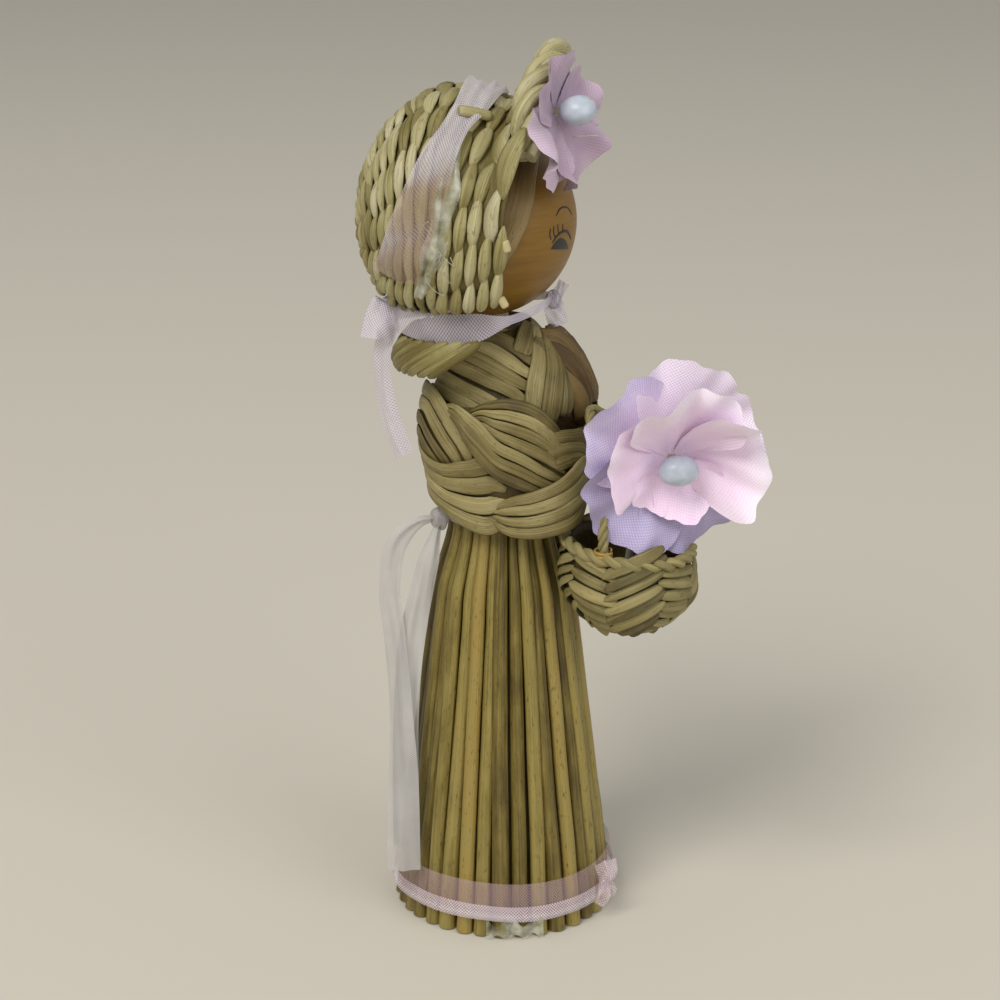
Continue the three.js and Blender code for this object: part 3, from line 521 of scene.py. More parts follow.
class Bundle:
    def __init__(self, seed):
        self.rng = np.random.default_rng(seed)
        self.points, self.faces, self.tones, self.grains = [], [], [], []
        self.size = 0

    def grid(self, points, grain, tone, closed=False, capped=False):
        """Faces between rows and columns of points. Closed joins the last column to the first."""
        rows, columns = points.shape[:2]
        index = self.size + np.arange(rows * columns).reshape(rows, columns)
        beside = np.roll(index, -1, axis=1)
        quads = np.stack([index[:-1], beside[:-1], beside[1:], index[1:]], -1)
        self.faces += quads[:, : columns if closed else columns - 1].reshape(-1, 4).tolist()
        if capped:
            self.faces += [index[0, ::-1].tolist(), index[-1].tolist()]
        self.points.append(points.reshape(-1, 3))
        self.grains.append(np.broadcast_to(grain, points.shape).reshape(-1, 3))
        self.tones.append(np.broadcast_to(tone, points.shape[:2]).reshape(-1))
        self.size += rows * columns

    def strip(self, path, normal, width, thick, camber=0.0, tone=None, sides=10, taper=0.0):
        """A flattened tube along a path, with its flat side square to a normal."""
        count = len(path)
        tangent = unit(np.gradient(path, axis=0))
        side = unit(np.cross(tangent, normal))
        lift_way = np.cross(side, tangent)
        share = np.linspace(0, 1, count)
        ends = lerp(1 - taper, 1, ease(np.minimum(share, 1 - share) * 9))
        angle = np.linspace(0, 2 * np.pi, sides, endpoint=False)
        half = (np.broadcast_to(width, count) * ends / 2)[:, None]
        deep = (np.broadcast_to(thick, count) * ends / 2)[:, None]
        across = half * np.cos(angle)
        lift = deep * np.sin(angle) + camber * np.sin(angle) ** 2
        points = path[:, None] + side[:, None] * across[..., None] + lift_way[:, None] * lift[..., None]
        offset = self.rng.uniform(0, 90)
        grain = stack(lengths_along(path)[:, None], across, offset + 0.3 * lift)
        shade = self.rng.uniform(0.12, 0.88) if tone is None else tone
        self.grid(points, grain, shade, closed=True, capped=True)

    def sheet(self, points, tone):
        """An open sheet of rows by columns of points, with its threads along both."""
        down = np.linalg.norm(np.diff(points, axis=0, prepend=points[:1]), axis=-1)
        across = np.linalg.norm(np.diff(points, axis=1, prepend=points[:, :1]), axis=-1)
        rows, columns = np.cumsum(down.mean(1)), np.cumsum(across.mean(0))
        self.grid(points, stack(rows[:, None], columns[None], self.rng.uniform(0, 90)), tone)

    def lump(self, centre, radii, tone=0.5, rough=0.12):
        """A small rounded knot or blob, with dents."""
        polar = np.linspace(0.06, np.pi - 0.06, 12)[:, None]
        turn = np.linspace(0, 2 * np.pi, 18, endpoint=False)[None]
        phase = self.rng.uniform(0, 6, 3)
        dents = np.sin(3 * turn + phase[0]) * np.sin(2 * polar + phase[1])
        dents = dents + 0.6 * np.sin(5 * turn + phase[2])
        ball = stack(np.sin(polar) * np.cos(turn), np.sin(polar) * np.sin(turn), np.cos(polar))
        points = np.asarray(centre) + ball * np.asarray(radii) * (1 + rough * dents)[..., None]
        self.grid(points, points, tone, closed=True, capped=True)

    def build(self, name, material, place, body, nodes=(), slot=None, solid=True):
        mesh = bpy.data.meshes.new(name)
        mesh.from_pydata((np.concatenate(self.points) * MM).tolist(), [], self.faces)
        keep(mesh, "tone", "FLOAT", self.tones)
        keep(mesh, "grain", "FLOAT_VECTOR", self.grains)
        return dress(name, mesh, material, place, body, nodes, solid)


# %% [markdown]
# ## Strips on a surface
# The leaves lie on the bodice, the arms and the bonnet, and cross over and under each other there. They
# could be snapped on with a Shrinkwrap modifier. Here each surface is a formula of two numbers, so a
# strip knows its place and which way is out, and can be lifted by an exact height.

# %% Surface helpers


def surface_of(point, step_a, step_b):
    """Points and outward normals of a surface that two numbers give."""
    def at(a, b):
        along = point(a + step_a, b) - point(a - step_a, b)
        across = point(a, b + step_b) - point(a, b - step_b)
        return point(a, b), unit(np.cross(across, along))
    return at


def mirrored(surface, hand):
    """The same surface on the doll's right, hand 1, or left, hand -1."""
    flip = np.array([hand, 1, 1])
    def at(angle, rise):
        points, normal = surface(angle, rise)
        return points * flip, normal * flip
    return at


# %% [markdown]
# ## Linings and bands
# Plaited strips never close quite tightly, and behind them it is dark. A lining closes each plaited
# piece from inside, and it is painted dark as shade. A band lays several strips side by side between
# two edges, because the maker plaits with flat bunches of leaf and not with single ones. No two strips
# have the same width, height or tilt.

# %% Linings and bands
LEAF_THICK = 0.34
# Painted shade: every lining gets the darkest tone of its ramp, standing for the shade between strips.
PAINTED_SHADE_TONE = -0.4


def shade_lining(bundle, surface, angles, low, high, lift, thick, rows=10):
    """A closed skin under the strips, painted dark as shade, so that no gap shows through."""
    low, high = [np.broadcast_to(edge, angles.shape)[:, None] for edge in (low, high)]
    over = np.linspace(0, 1, rows)
    second = lerp(low, high, np.concatenate([over, over[::-1]]))
    points, normal = surface(np.broadcast_to(angles[:, None], second.shape), second)
    points = points + normal * np.repeat([lift + thick, lift], rows)[None, :, None]
    bundle.grid(points, points, PAINTED_SHADE_TONE, closed=True, capped=True)


def band(bundle, surface, top, low, lift, strips, count=40):
    """Strips side by side between two edges on a surface, rising and dipping by lift."""
    top, low = smooth(top, count), smooth(low, count)
    rise = np.interp(np.linspace(0, 1, count), np.linspace(0, 1, len(lift)), lift)
    rise = np.convolve(np.pad(rise, 3, mode="edge"), np.ones(7) / 7, mode="valid")
    apart = np.linalg.norm(surface(*top.T)[0] - surface(*low.T)[0], axis=1) / strips
    for k in range(strips):
        path, normal = surface(*lerp(low, top, (k + 0.5) / strips).T)
        sway = 0.07 * np.sin(np.linspace(0, 5, count) + bundle.rng.uniform(0, 6))
        height = rise + bundle.rng.uniform(-0.05, 0.1) + sway
        tilt = unit(normal + 0.07 * bundle.rng.normal(size=3))
        width = apart * bundle.rng.uniform(0.86, 0.96)
        bundle.strip(path + normal * height[:, None], tilt, width, LEAF_THICK, 0.04, taper=0.35)


# %% [markdown]
# ## Trees that follow a line
# Stems and cords repeat and follow a line, which is what Geometry Nodes are for. Each line is a row of
# edges that carries its thickness and its number. A tree of nodes sweeps a circle along it. An array of
# cylinders could stand for stems, but it could not bend and taper each one.

# %% Geometry node helpers


def new_tree(name, inputs):
    """A tree with geometry in and out, named inputs for its sizes, and a material."""
    tree = bpy.data.node_groups.new(name, "GeometryNodeTree")
    for way in ("INPUT", "OUTPUT"):
        tree.interface.new_socket("Geometry", in_out=way, socket_type="NodeSocketGeometry")
    for label, kind, value in inputs:
        socket = tree.interface.new_socket(label, in_out="INPUT", socket_type="NodeSocket" + kind)
        socket.default_value = value
    tree.interface.new_socket("Material", in_out="INPUT", socket_type="NodeSocketMaterial")
    return tree, node(tree, "NodeGroupInput").outputs, node(tree, "NodeGroupOutput")


def named(tree, label, kind="FLOAT"):
    return result(tree, "GeometryNodeInputNamedAttribute", {"Name": label}, data_type=kind)


def store(tree, geometry, label, value, kind="FLOAT"):
    inputs = {"Geometry": geometry, "Name": label, "Value": value}
    return result(tree, "GeometryNodeStoreNamedAttribute", inputs, data_type=kind, domain="POINT")


# %% [markdown]
# ## Guide lines
# The lines themselves could be drawn as curves. A mesh of edges is used because its points can carry
# attributes from the start. The modifier that runs the tree is read out as a plain mesh and goes away
# with the guide lines, since the piece that is handed over must have no live modifier.

# %% Guide lines


def guide_lines(name, lines, radii):
    """Edges along each line, with a thickness and a line number at each point."""
    mesh = bpy.data.meshes.new(name)
    edges, start = [], 0
    for line in lines:
        edges += [(start + i, start + i + 1) for i in range(len(line) - 1)]
        start += len(line)
    mesh.from_pydata((np.concatenate(lines) * MM).tolist(), edges, [])
    keep(mesh, "thick", "FLOAT", [radius.astype(np.float32) * MM for radius in radii])
    keep(mesh, "line", "INT", [np.full(len(line), i) for i, line in enumerate(lines)])
    guides = bpy.data.objects.new(name, mesh)
    bpy.context.scene.collection.objects.link(guides)
    return guides


def grow(guides, tree, values):
    """Runs a tree on guide lines with these named inputs, and keeps the plain mesh that it makes."""
    modifier = guides.modifiers.new("nodes", "NODES")
    modifier.node_group = tree
    for item in tree.interface.items_tree:
        if item.in_out == "INPUT" and item.name in values:
            modifier[item.identifier] = values[item.name]
    bpy.context.view_layer.update()
    graph = bpy.context.evaluated_depsgraph_get()
    grown = guides.evaluated_get(graph)
    mesh = bpy.data.meshes.new_from_object(grown, preserve_all_data_layers=True, depsgraph=graph)
    bpy.data.objects.remove(guides)
    return mesh


# %% [markdown]
# ## Sweep with a grain
# The end of both trees is the same. A circle is swept along each line, and the mesh is given its grain
# and tone for the straw material. The place on the circle is stored before the sweep, because after it
# nothing else tells how far round the stem a point lies.

# %% Sweep
GRAIN_ROUND, GRAIN_APART = 1.6, 7.3


def sweep(tree, curve, sides, material, tone):
    curve = store(tree, curve, "along", node(tree, "GeometryNodeSplineParameter").outputs["Length"])
    circle = result(tree, "GeometryNodeCurvePrimitiveCircle", {"Resolution": sides, "Radius": 1.0})
    circle = store(tree, circle, "ring", result(tree, "GeometryNodeInputPosition"), "FLOAT_VECTOR")
    parts = {"Curve": curve, "Profile Curve": circle, "Fill Caps": True}
    swept = node(tree, "GeometryNodeCurveToMesh", parts)
    if "Scale" in swept.inputs:
        tree.links.new(result(tree, "GeometryNodeInputRadius"), swept.inputs["Scale"])
    ring = node(tree, "ShaderNodeSeparateXYZ", {0: named(tree, "ring", "FLOAT_VECTOR")}).outputs
    length = maths(tree, "MULTIPLY", named(tree, "along"), 1 / MM)
    across, deep = [maths(tree, "MULTIPLY", ring[k], GRAIN_ROUND) for k in (0, 1)]
    apart = maths(tree, "MULTIPLY", named(tree, "line", "INT"), GRAIN_APART)
    grain = result(tree, "ShaderNodeCombineXYZ", {0: length, 1: across, 2: maths(tree, "ADD", apart, deep)})
    mesh = store(tree, swept.outputs["Mesh"], "grain", grain, "FLOAT_VECTOR")
    mesh = store(tree, mesh, "tone", tone)
    mesh = result(tree, "GeometryNodeRealizeInstances", {"Geometry": mesh})
    return result(tree, "GeometryNodeSetMaterial", {"Geometry": mesh, "Material": material})


# %% [markdown]
# ## The skirt's form
# The skirt is two rings of seventeen stems, spread at the hem and bound at the waist. Its form is a
# rule: how far a stem stands from the axis, and how wide it is, at each height. A drawn profile would
# do, but the ribbons and the basket also ask this rule how far out the skirt is.

# %% Form of the skirt
GAP = 0.3
STEMS_PER_RING = 17
STEM_DIAMETER, STEM_PINCHED = 3.3, 2.2
STEM_ABOVE_WAIST = 5.0
HEM_RADIUS = 17.4
HIP_HEIGHT, SPREAD_HEIGHT = 50.0, 14.0
PEG_RADIUS = 3.0

HALF_STEP = math.sin(math.pi / (2 * STEMS_PER_RING))
HEM_CENTRE = (HEM_RADIUS + GAP / 2) / (1 + HALF_STEP)
HEM_WIDTH = 2 * HEM_CENTRE * HALF_STEP - GAP
HIP_CENTRE = (STEM_DIAMETER + GAP) / (2 * math.sin(math.pi / STEMS_PER_RING))
PEG_SHIFT = STEM_ABOVE_WAIST * math.tan(LEAN)
INNER_WAIST = PEG_RADIUS + PEG_SHIFT + GAP + STEM_PINCHED / 2
OUTER_WAIST = INNER_WAIST + STEM_PINCHED + GAP
WAIST_RADIUS = OUTER_WAIST + STEM_PINCHED / 2
STEM_TOP = WAIST + STEM_ABOVE_WAIST


def up_the_skirt(z):
    """How far a height is on the way from hem to hip, and from hip to waist."""
    return np.clip(z / HIP_HEIGHT, 0, 1), ease((z - HIP_HEIGHT) / (WAIST - HIP_HEIGHT))


def outer_stem(z):
    """Distance from the axis, and width, of an outer stem of the model at a height."""
    to_hip, to_waist = up_the_skirt(z)
    radius = lerp(lerp(HEM_CENTRE, HIP_CENTRE, to_hip), OUTER_WAIST, to_waist)
    width = lerp(HEM_WIDTH, STEM_DIAMETER, np.clip(z / SPREAD_HEIGHT, 0, 1))
    return radius, lerp(width, STEM_PINCHED, to_waist)


def skirt_radius(z):
    radius, width = outer_stem(z)
    return radius + width / 2


print("skirt radius at hem, hip and waist", skirt_radius(np.array([0.0, HIP_HEIGHT, WAIST])).round(2))

# %% [markdown]
# ## Tree of the rush stems
# A cut rush is never quite straight. The tree takes the guide lines, pushes each one a little aside by
# a noise of its own, and sweeps it. The push is level, so that the cut ends stay on the floor, and the
# seed is fixed, so that the skirt grows the same each time.

# %% Rush stem tree
STEM_SIDES, STEM_BEND, STEM_SEED = 14, 0.0004, 4


def stem_tree():
    inputs = [("Sides", "Int", STEM_SIDES), ("Bend", "Float", STEM_BEND), ("Seed", "Int", STEM_SEED)]
    tree, values, end = new_tree("rush_stems", inputs)
    curve = result(tree, "GeometryNodeMeshToCurve", {"Mesh": values["Geometry"]})
    curve = result(tree, "GeometryNodeSetCurveRadius", {"Curve": curve, "Radius": named(tree, "thick")})
    line = named(tree, "line", "INT")
    apart = {0: maths(tree, "MULTIPLY", line, 3.7), 1: values["Seed"]}
    place = vector_maths(tree, "SCALE", result(tree, "GeometryNodeInputPosition"), 45.0)
    place = vector_maths(tree, "ADD", place, result(tree, "ShaderNodeCombineXYZ", apart))
    cloud = node(tree, "ShaderNodeTexNoise", {"Vector": place, "Scale": 1.0, "Detail": 1.0})
    push = vector_maths(tree, "SUBTRACT", cloud.outputs["Color"], (0.5, 0.5, 0.5))
    push = vector_maths(tree, "SCALE", push, values["Bend"])
    push = vector_maths(tree, "MULTIPLY", push, (1.0, 1.0, 0.0))
    curve = result(tree, "GeometryNodeSetPosition", {"Geometry": curve, "Offset": push})
    chance = node(tree, "FunctionNodeRandomValue", {"ID": line, "Seed": values["Seed"]}, data_type="FLOAT")
    made = sweep(tree, curve, values["Sides"], values["Material"], chance.outputs[1])
    tree.links.new(made, end.inputs["Geometry"])
    return tree


RUSH_STEMS = stem_tree()
print("rush stem tree", len(RUSH_STEMS.nodes), "nodes")

# %% [markdown]
# ## Skirt stems
# The real stems are more slender than the solids, which have to stand apart, and the inner ones come up
# between the outer ones. So the guide lines keep the rule of the skirt's outside, and take their own
# width. Each stem drifts a little round the skirt on its way up, as bound stems do.

# %% Skirt stems
SLIM_HEM, SLIM_HIP, SLIM_WAIST = 2.65, 2.05, 1.6
SUNK_HEM, SUNK_HIP = 0.1, 0.7


def shown_stem(z, ring):
    """Distance from the axis, and width, of a stem as it shows."""
    radius, width = outer_stem(z)
    to_hip, to_waist = up_the_skirt(z)
    slim = lerp(lerp(SLIM_HEM, SLIM_HIP, to_hip), SLIM_WAIST, to_waist)
    radius = radius + (width - slim) / 2
    if ring == "inner":
        radius = radius - lerp(SUNK_HEM, SUNK_HIP, to_hip)
    return radius, slim


def skirt_stems():
    z = np.linspace(0.15, STEM_TOP, 46)
    rng = np.random.default_rng(5)
    lines, radii, names = [], [], []
    for k in range(STEMS_PER_RING):
        for ring, turn in (("outer", k), ("inner", k + 0.5)):
            radius, width = shown_stem(z, ring)
            drift = rng.uniform(-1.2, 1.2) + rng.uniform(-2.4, 2.4) * up_the_skirt(z)[0]
            angle = 360 / STEMS_PER_RING * turn + drift
            lines.append(around(angle, radius + rng.uniform(-0.2, 0.1), z))
            radii.append(width / 2 * rng.uniform(0.92, 1.1))
            names.append(f"skirt_stem_{ring}_{k + 1:02d}")
    guides = guide_lines("skirt_guides", lines, radii)
    values = {"Sides": STEM_SIDES, "Bend": STEM_BEND, "Seed": STEM_SEED, "Material": rush}
    dress("skirt_stems", grow(guides, RUSH_STEMS, values), rush, DOLL, "body", names)


skirt_stems()

# %% [markdown]
# ## Dark inside of the skirt
# Between the stems of the real doll one sees only shadow, because more stems stand behind them. Filling
# the skirt with stems would cost many faces that never show. A skin just behind the rings, painted dark
# as shade, gives the same look.

# %% Skirt lining
skin = Bundle(6)
z = np.linspace(0.6, WAIST - 1, 30)
drawn_in = ease((z - HIP_HEIGHT + 4) / (WAIST - HIP_HEIGHT))
behind = lerp(skirt_radius(z) - 2.8, OUTER_WAIST - 1.5, drawn_in)
points = around(np.linspace(0, 360, 72, endpoint=False)[None], behind[:, None], z[:, None])
# Painted shade: the skin takes the darkest tone.
skin.grid(points, points, PAINTED_SHADE_TONE, closed=True, capped=True)
skin.build("skirt_shade_lining", rush, DOLL, "body", (), "stem")

# %% [markdown]
# ## Tree of the twisted cord
# Twine, the edge of the brim and the basket's handle are strands that wind round each other. A Screw
# modifier can wind one strand round a straight axis. This tree works on any path: it copies the line
# once for each strand and turns every copy round it by the pitch.

# %% Twisted cord tree
CORD_SIDES, CORD_STEP = 8, 0.4
CORD_INPUTS = [("Strands", "Int", 2), ("Sides", "Int", CORD_SIDES), ("Pitch", "Float", 0.004),
               ("Lay", "Float", 0.0004), ("Strand radius", "Float", 0.0005), ("Step", "Float", 0.0004)]


def cord_tree():
    tree, values, end = new_tree("twisted_cord", CORD_INPUTS)
    curve = result(tree, "GeometryNodeMeshToCurve", {"Mesh": values["Geometry"]})
    sizes = {"Curve": curve, "Length": values["Step"]}
    curve = result(tree, "GeometryNodeResampleCurve", sizes, mode="LENGTH")
    amount = {"Geometry": curve, "Amount": values["Strands"]}
    copies = node(tree, "GeometryNodeDuplicateElements", amount, domain="SPLINE").outputs
    curve = store(tree, copies["Geometry"], "line", copies["Duplicate Index"], "INT")
    strand = named(tree, "line", "INT")
    length = node(tree, "GeometryNodeSplineParameter").outputs["Length"]
    wound = maths(tree, "DIVIDE", length, values["Pitch"])
    turn = maths(tree, "ADD", wound, maths(tree, "DIVIDE", strand, values["Strands"]))
    turn = maths(tree, "MULTIPLY", turn, 2 * math.pi)
    normal = result(tree, "GeometryNodeInputNormal")
    across = vector_maths(tree, "CROSS_PRODUCT", result(tree, "GeometryNodeInputTangent"), normal)
    ways = [vector_maths(tree, "SCALE", way, maths(tree, part, turn))
            for way, part in ((normal, "COSINE"), (across, "SINE"))]
    offset = vector_maths(tree, "SCALE", vector_maths(tree, "ADD", *ways), values["Lay"])
    curve = result(tree, "GeometryNodeSetPosition", {"Geometry": curve, "Offset": offset})
    curve = result(tree, "GeometryNodeSetCurveRadius", {"Curve": curve, "Radius": values["Strand radius"]})
    chance = node(tree, "FunctionNodeRandomValue", {"ID": strand, "Seed": 3}, data_type="FLOAT")
    made = sweep(tree, curve, values["Sides"], values["Material"], chance.outputs[1])
    tree.links.new(made, end.inputs["Geometry"])
    return tree


TWISTED_CORD = cord_tree()
print("twisted cord tree", len(TWISTED_CORD.nodes), "nodes")

# %% [markdown]
# ## Waist twine
# Three turns of twine bind the stems at the waist, under the sash. A plain torus would do for a piece
# that is mostly hidden, but the cord tree gives the twist for nothing.

# %% Waist twine


def cord(name, path, strands, pitch, lay, radius, material, place, body, nodes=()):
    """Strands of a radius, laid off a path and wound round it once in every pitch."""
    path = np.asarray(path)
    guides = guide_lines(name + "_guide", [path], [np.full(len(path), radius)])
    values = {"Strands": strands, "Sides": CORD_SIDES, "Pitch": pitch * MM, "Lay": lay * MM,
              "Strand radius": radius * MM, "Step": CORD_STEP * MM, "Material": material}
    return dress(name, grow(guides, TWISTED_CORD, values), material, place, body, nodes)


TWINE_LOW = WAIST + 1.5 + GAP
turns = np.linspace(0, 3, 120)
binding = around(360 * turns, WAIST_RADIUS + GAP + 0.3, TWINE_LOW + 0.35 + 0.45 * turns)
cord("waist_twine", binding, 2, 1.6, 0.16, 0.19, twine, DOLL, "body", ["waist_binding"])

# %% [markdown]
# ## Form of the upper body
# The bodice is a bundle of leaves that swells at the chest and narrows at the neck. The wraps lie on
# it, and the arms lie on the wraps and leave them towards the hands. Three formulas give these surfaces.
# They build on each other, so a change of the chest moves everything that lies on it.

# %% Surfaces of the upper body
CHEST_RISE, CHEST_RADIUS = 14.0, 9.0
NECK_RISE, NECK_RADIUS = 29.0, 5.2
WRAP_THICKNESS, CHEST_FOLD = 1.6, 3.4
HAND_RISE, HAND_REACH, HAND_HALF = 10.2, 3.6, 4.6
HANDS_FROM_DEG, HANDS_OVER_DEG = 72, 54
CORE_FOOT = STEM_ABOVE_WAIST + WAIST_RADIUS * math.sin(LEAN) + GAP
BAND_RADIUS = WAIST_RADIUS + GAP + 0.6 + PEG_SHIFT


def core_radius(rise):
    low = lerp(WAIST_RADIUS - GAP, CHEST_RADIUS, ease((rise - CORE_FOOT) / (CHEST_RISE - CORE_FOOT)))
    high = lerp(CHEST_RADIUS, NECK_RADIUS, ease((rise - CHEST_RISE) / (NECK_RISE - CHEST_RISE)))
    return np.where(rise < CHEST_RISE, low, high)


def arm_seat(rise):
    """How far from the axis the inside of an arm lies."""
    seat = core_radius(np.maximum(rise, CORE_FOOT)) + WRAP_THICKNESS + 2 * GAP
    foot = float(core_radius(np.array(CORE_FOOT))) + WRAP_THICKNESS + 2 * GAP
    return np.where(rise > CORE_FOOT, seat, lerp(BAND_RADIUS + GAP, foot, ease(rise / CORE_FOOT)))


HAND_SEAT = float(arm_seat(np.array(HAND_RISE))) + HAND_REACH


def core_point(angle, rise):
    return around(angle, core_radius(rise), rise)


def wrap_point(angle, rise):
    low = lerp(12.0, 9.0, np.clip(np.abs(angle) / 180, 0, 1))
    share = np.clip((rise - low) / (NECK_RISE - low), 0, 1)
    fold = CHEST_FOLD * np.maximum(0, np.cos(np.radians(angle))) ** 3 * np.sin(np.pi * share)
    return around(angle, core_radius(rise) + GAP + fold, rise)


def arm_point(angle, rise):
    reach = ease((HANDS_FROM_DEG - np.abs(angle)) / HANDS_OVER_DEG)
    return around(angle, lerp(arm_seat(rise), HAND_SEAT, reach), rise)


core, wrap, arm = [surface_of(point, 0.5, 0.2) for point in (core_point, wrap_point, arm_point)]
print("bodice foot", round(CORE_FOOT, 2), "hands", round(HAND_SEAT, 2), "from the axis")

# %% [markdown]
# ## Bodice leaves
# Eighteen upright leaves make the bodice. Little of them shows between the wraps and the arms. A bump
# on a plain cone could stand for them, but at the waist and the neck their edges can be seen, so they
# are real strips that overlap, with a lining behind that is painted dark as shade.

# %% Bodice leaves
BODICE_LEAVES, BODICE_OVERLAP = 18, 1.15

bodice = Bundle(11)
for k in range(BODICE_LEAVES):
    angle = 20 * k + bodice.rng.uniform(-3, 3, 2)
    rises = np.linspace(CORE_FOOT, NECK_RISE, 24)
    path, normal = core(np.linspace(*angle, 24), rises)
    width = 2 * np.pi * core_radius(rises) / BODICE_LEAVES * BODICE_OVERLAP
    bodice.strip(path - normal * 0.25, normal, width, 0.5, 0.15)
shade_lining(bodice, core, np.linspace(0, 360, 60), CORE_FOOT, NECK_RISE, -1.2, 0.7)
bodice.build("bodice_leaves", leaf, UPPER, "body", ["bodice_core"], "leaf")

# %% [markdown]
# ## Shoulder wraps
# Leaf strips run from the back over each shoulder and down to the chest, where broader leaves cross.
# Each strip was read off the photograph as a few angles and heights. The other shoulder does not show,
# so it mirrors this one with other tones. On the chest its leaves pass under.

# %% Shoulder wraps
WRAP_STRIPS = [
    [(178, 19.6), (153, 20.2), (104, 19.5), (77, 17.8), (60, 15.6)],
    [(178, 21.8), (134, 22.2), (90, 20.6), (64, 18.8), (48, 17.0)],
    [(178, 24.0), (140, 24.6), (108, 24.0), (68, 22.0), (42, 19.8), (34, 18.2)],
    [(178, 26.0), (120, 26.6), (88, 25.5), (54, 23.2), (29, 20.3)],
    [(178, 27.6), (110, 27.9), (71, 27.0), (45, 24.8), (25, 21.8)],
    [(178, 28.6), (120, 28.8), (80, 28.6), (53, 28.0), (33, 26.0), (21, 23.4)],
]
# Each chest leaf: its path, its width and its height over the wrap.
CHEST_LEAVES = [
    ([(3, 28.7), (17, 27.2), (29, 25.0)], 3.4, 1.5),
    ([(-4, 28.0), (16, 23.8), (29, 19.4), (33, 16.6)], 3.0, 1.5),
    ([(-10, 26.6), (7, 22.5), (19, 18.2), (23, 15.6)], 3.6, 1.7),
    ([(-10, 24.2), (4, 20.0), (9, 16.2)], 3.6, 1.5),
]
STRIP_WIDTH, STRIP_LIFT = 2.15, 1.0


def shoulder(name, hand, seed):
    bundle = Bundle(seed)
    on = mirrored(wrap, hand)
    angles = np.linspace(2, 178, 40)
    shade_lining(bundle, on, angles, lerp(12.5, 9.5, angles / 180), NECK_RISE - 0.3, 0.05, 0.5)
    for k, points in enumerate(WRAP_STRIPS):
        path, normal = on(*smooth(points, 46).T)
        path = path + normal * (STRIP_LIFT + 0.06 * k)
        tone = bundle.rng.uniform(0.04, 0.74)
        bundle.strip(path, normal, STRIP_WIDTH, LEAF_THICK, 0.05, tone, taper=0.3)
    for points, width, lift in CHEST_LEAVES:
        path, normal = on(*smooth(points, 24).T)
        path = path + normal * (lift - 0.15 * (hand < 0))
        bundle.strip(path, normal, width * np.linspace(0.75, 1, 24), LEAF_THICK, 0.1, taper=0.3)
    bundle.build("wrap_leaves_" + name, leaf, UPPER, "body", ["shoulder_wrap_" + name], "leaf")


shoulder("right", 1, 21)
shoulder("left", -1, 22)

# %% [markdown]
# ## Front leaves
# Six brown leaves are folded forward at the front of the chest and stand out from it like a collar. Lying
# on the wrap's surface they would look flat. They get a surface of their own, which swells out at one
# angle, and each leaf is tilted on it so that its edge catches the light.

# %% Front leaves
FOLD_DEG, FOLD_SPREAD_DEG = -28.0, 22
FOLD_RISES = [14, 17.8, 21, 23.2, 25.5, 27, 28.5]
FOLD_RADII = [14.2, 15.0, 14.3, 13.5, 12.2, 10.9, 8.4]
FOLD_LEAVES = [
    [(16, 25.0), (4, 22.0), (-4, 18.6), (-8, 14.6)],
    [(10, 27.4), (-4, 25.0), (-12, 21.0), (-16, 16.0)],
    [(-2, 27.8), (-16, 25.4), (-22, 21.2), (-25, 16.4)],
    [(-12, 27.9), (-26, 25.4), (-31, 21.0), (-33, 16.6)],
    [(-22, 27.6), (-36, 24.8), (-42, 20.4), (-44, 16.0)],
    [(-34, 27.0), (-48, 23.6), (-54, 19.0), (-56, 15.0)],
]


def fold_point(angle, rise):
    swell = np.interp(rise, FOLD_RISES, FOLD_RADII)
    base = np.linalg.norm(wrap_point(angle, rise)[..., :2], axis=-1) + 0.9
    near = np.exp(-(((angle - FOLD_DEG) / FOLD_SPREAD_DEG) ** 2))
    return around(angle, lerp(base, np.maximum(base, swell), near), rise)


front = surface_of(fold_point, 0.5, 0.2)
folds = Bundle(23)
for k, points in enumerate(FOLD_LEAVES):
    path, normal = front(*smooth(points, 30).T)
    lift = 0.3 + 0.25 * np.sin(np.linspace(0, 9, 30) + 2 * k)
    tilt = unit(normal + around(100, 0.35, 0.1))
    width = 3.1 * np.linspace(0.8, 1, 30)
    tone = folds.rng.uniform(-0.1, 0.5)
    folds.strip(path + normal * lift[:, None], tilt, width, 0.36, 0.08, tone, taper=0.4)
angles = np.linspace(16, -70, 40)
share = (16 - angles) / 86
shade_lining(folds, front, angles, lerp(13.0, 11.0, share), lerp(27.6, 18.0, share**2), -0.7, 0.6)
folds.build("front_leaves", brown_leaf, UPPER, "body", (), "leaf")

# %% [markdown]
# ## Arms
# Each arm is a flat plait of leaf bands that pass over and under each other on their way round to the
# hands. A woven texture would be flat at the edge, where the bands stand proud. So each band is read off
# by its two edges, and a list of heights along it says where it comes up and where it dips.

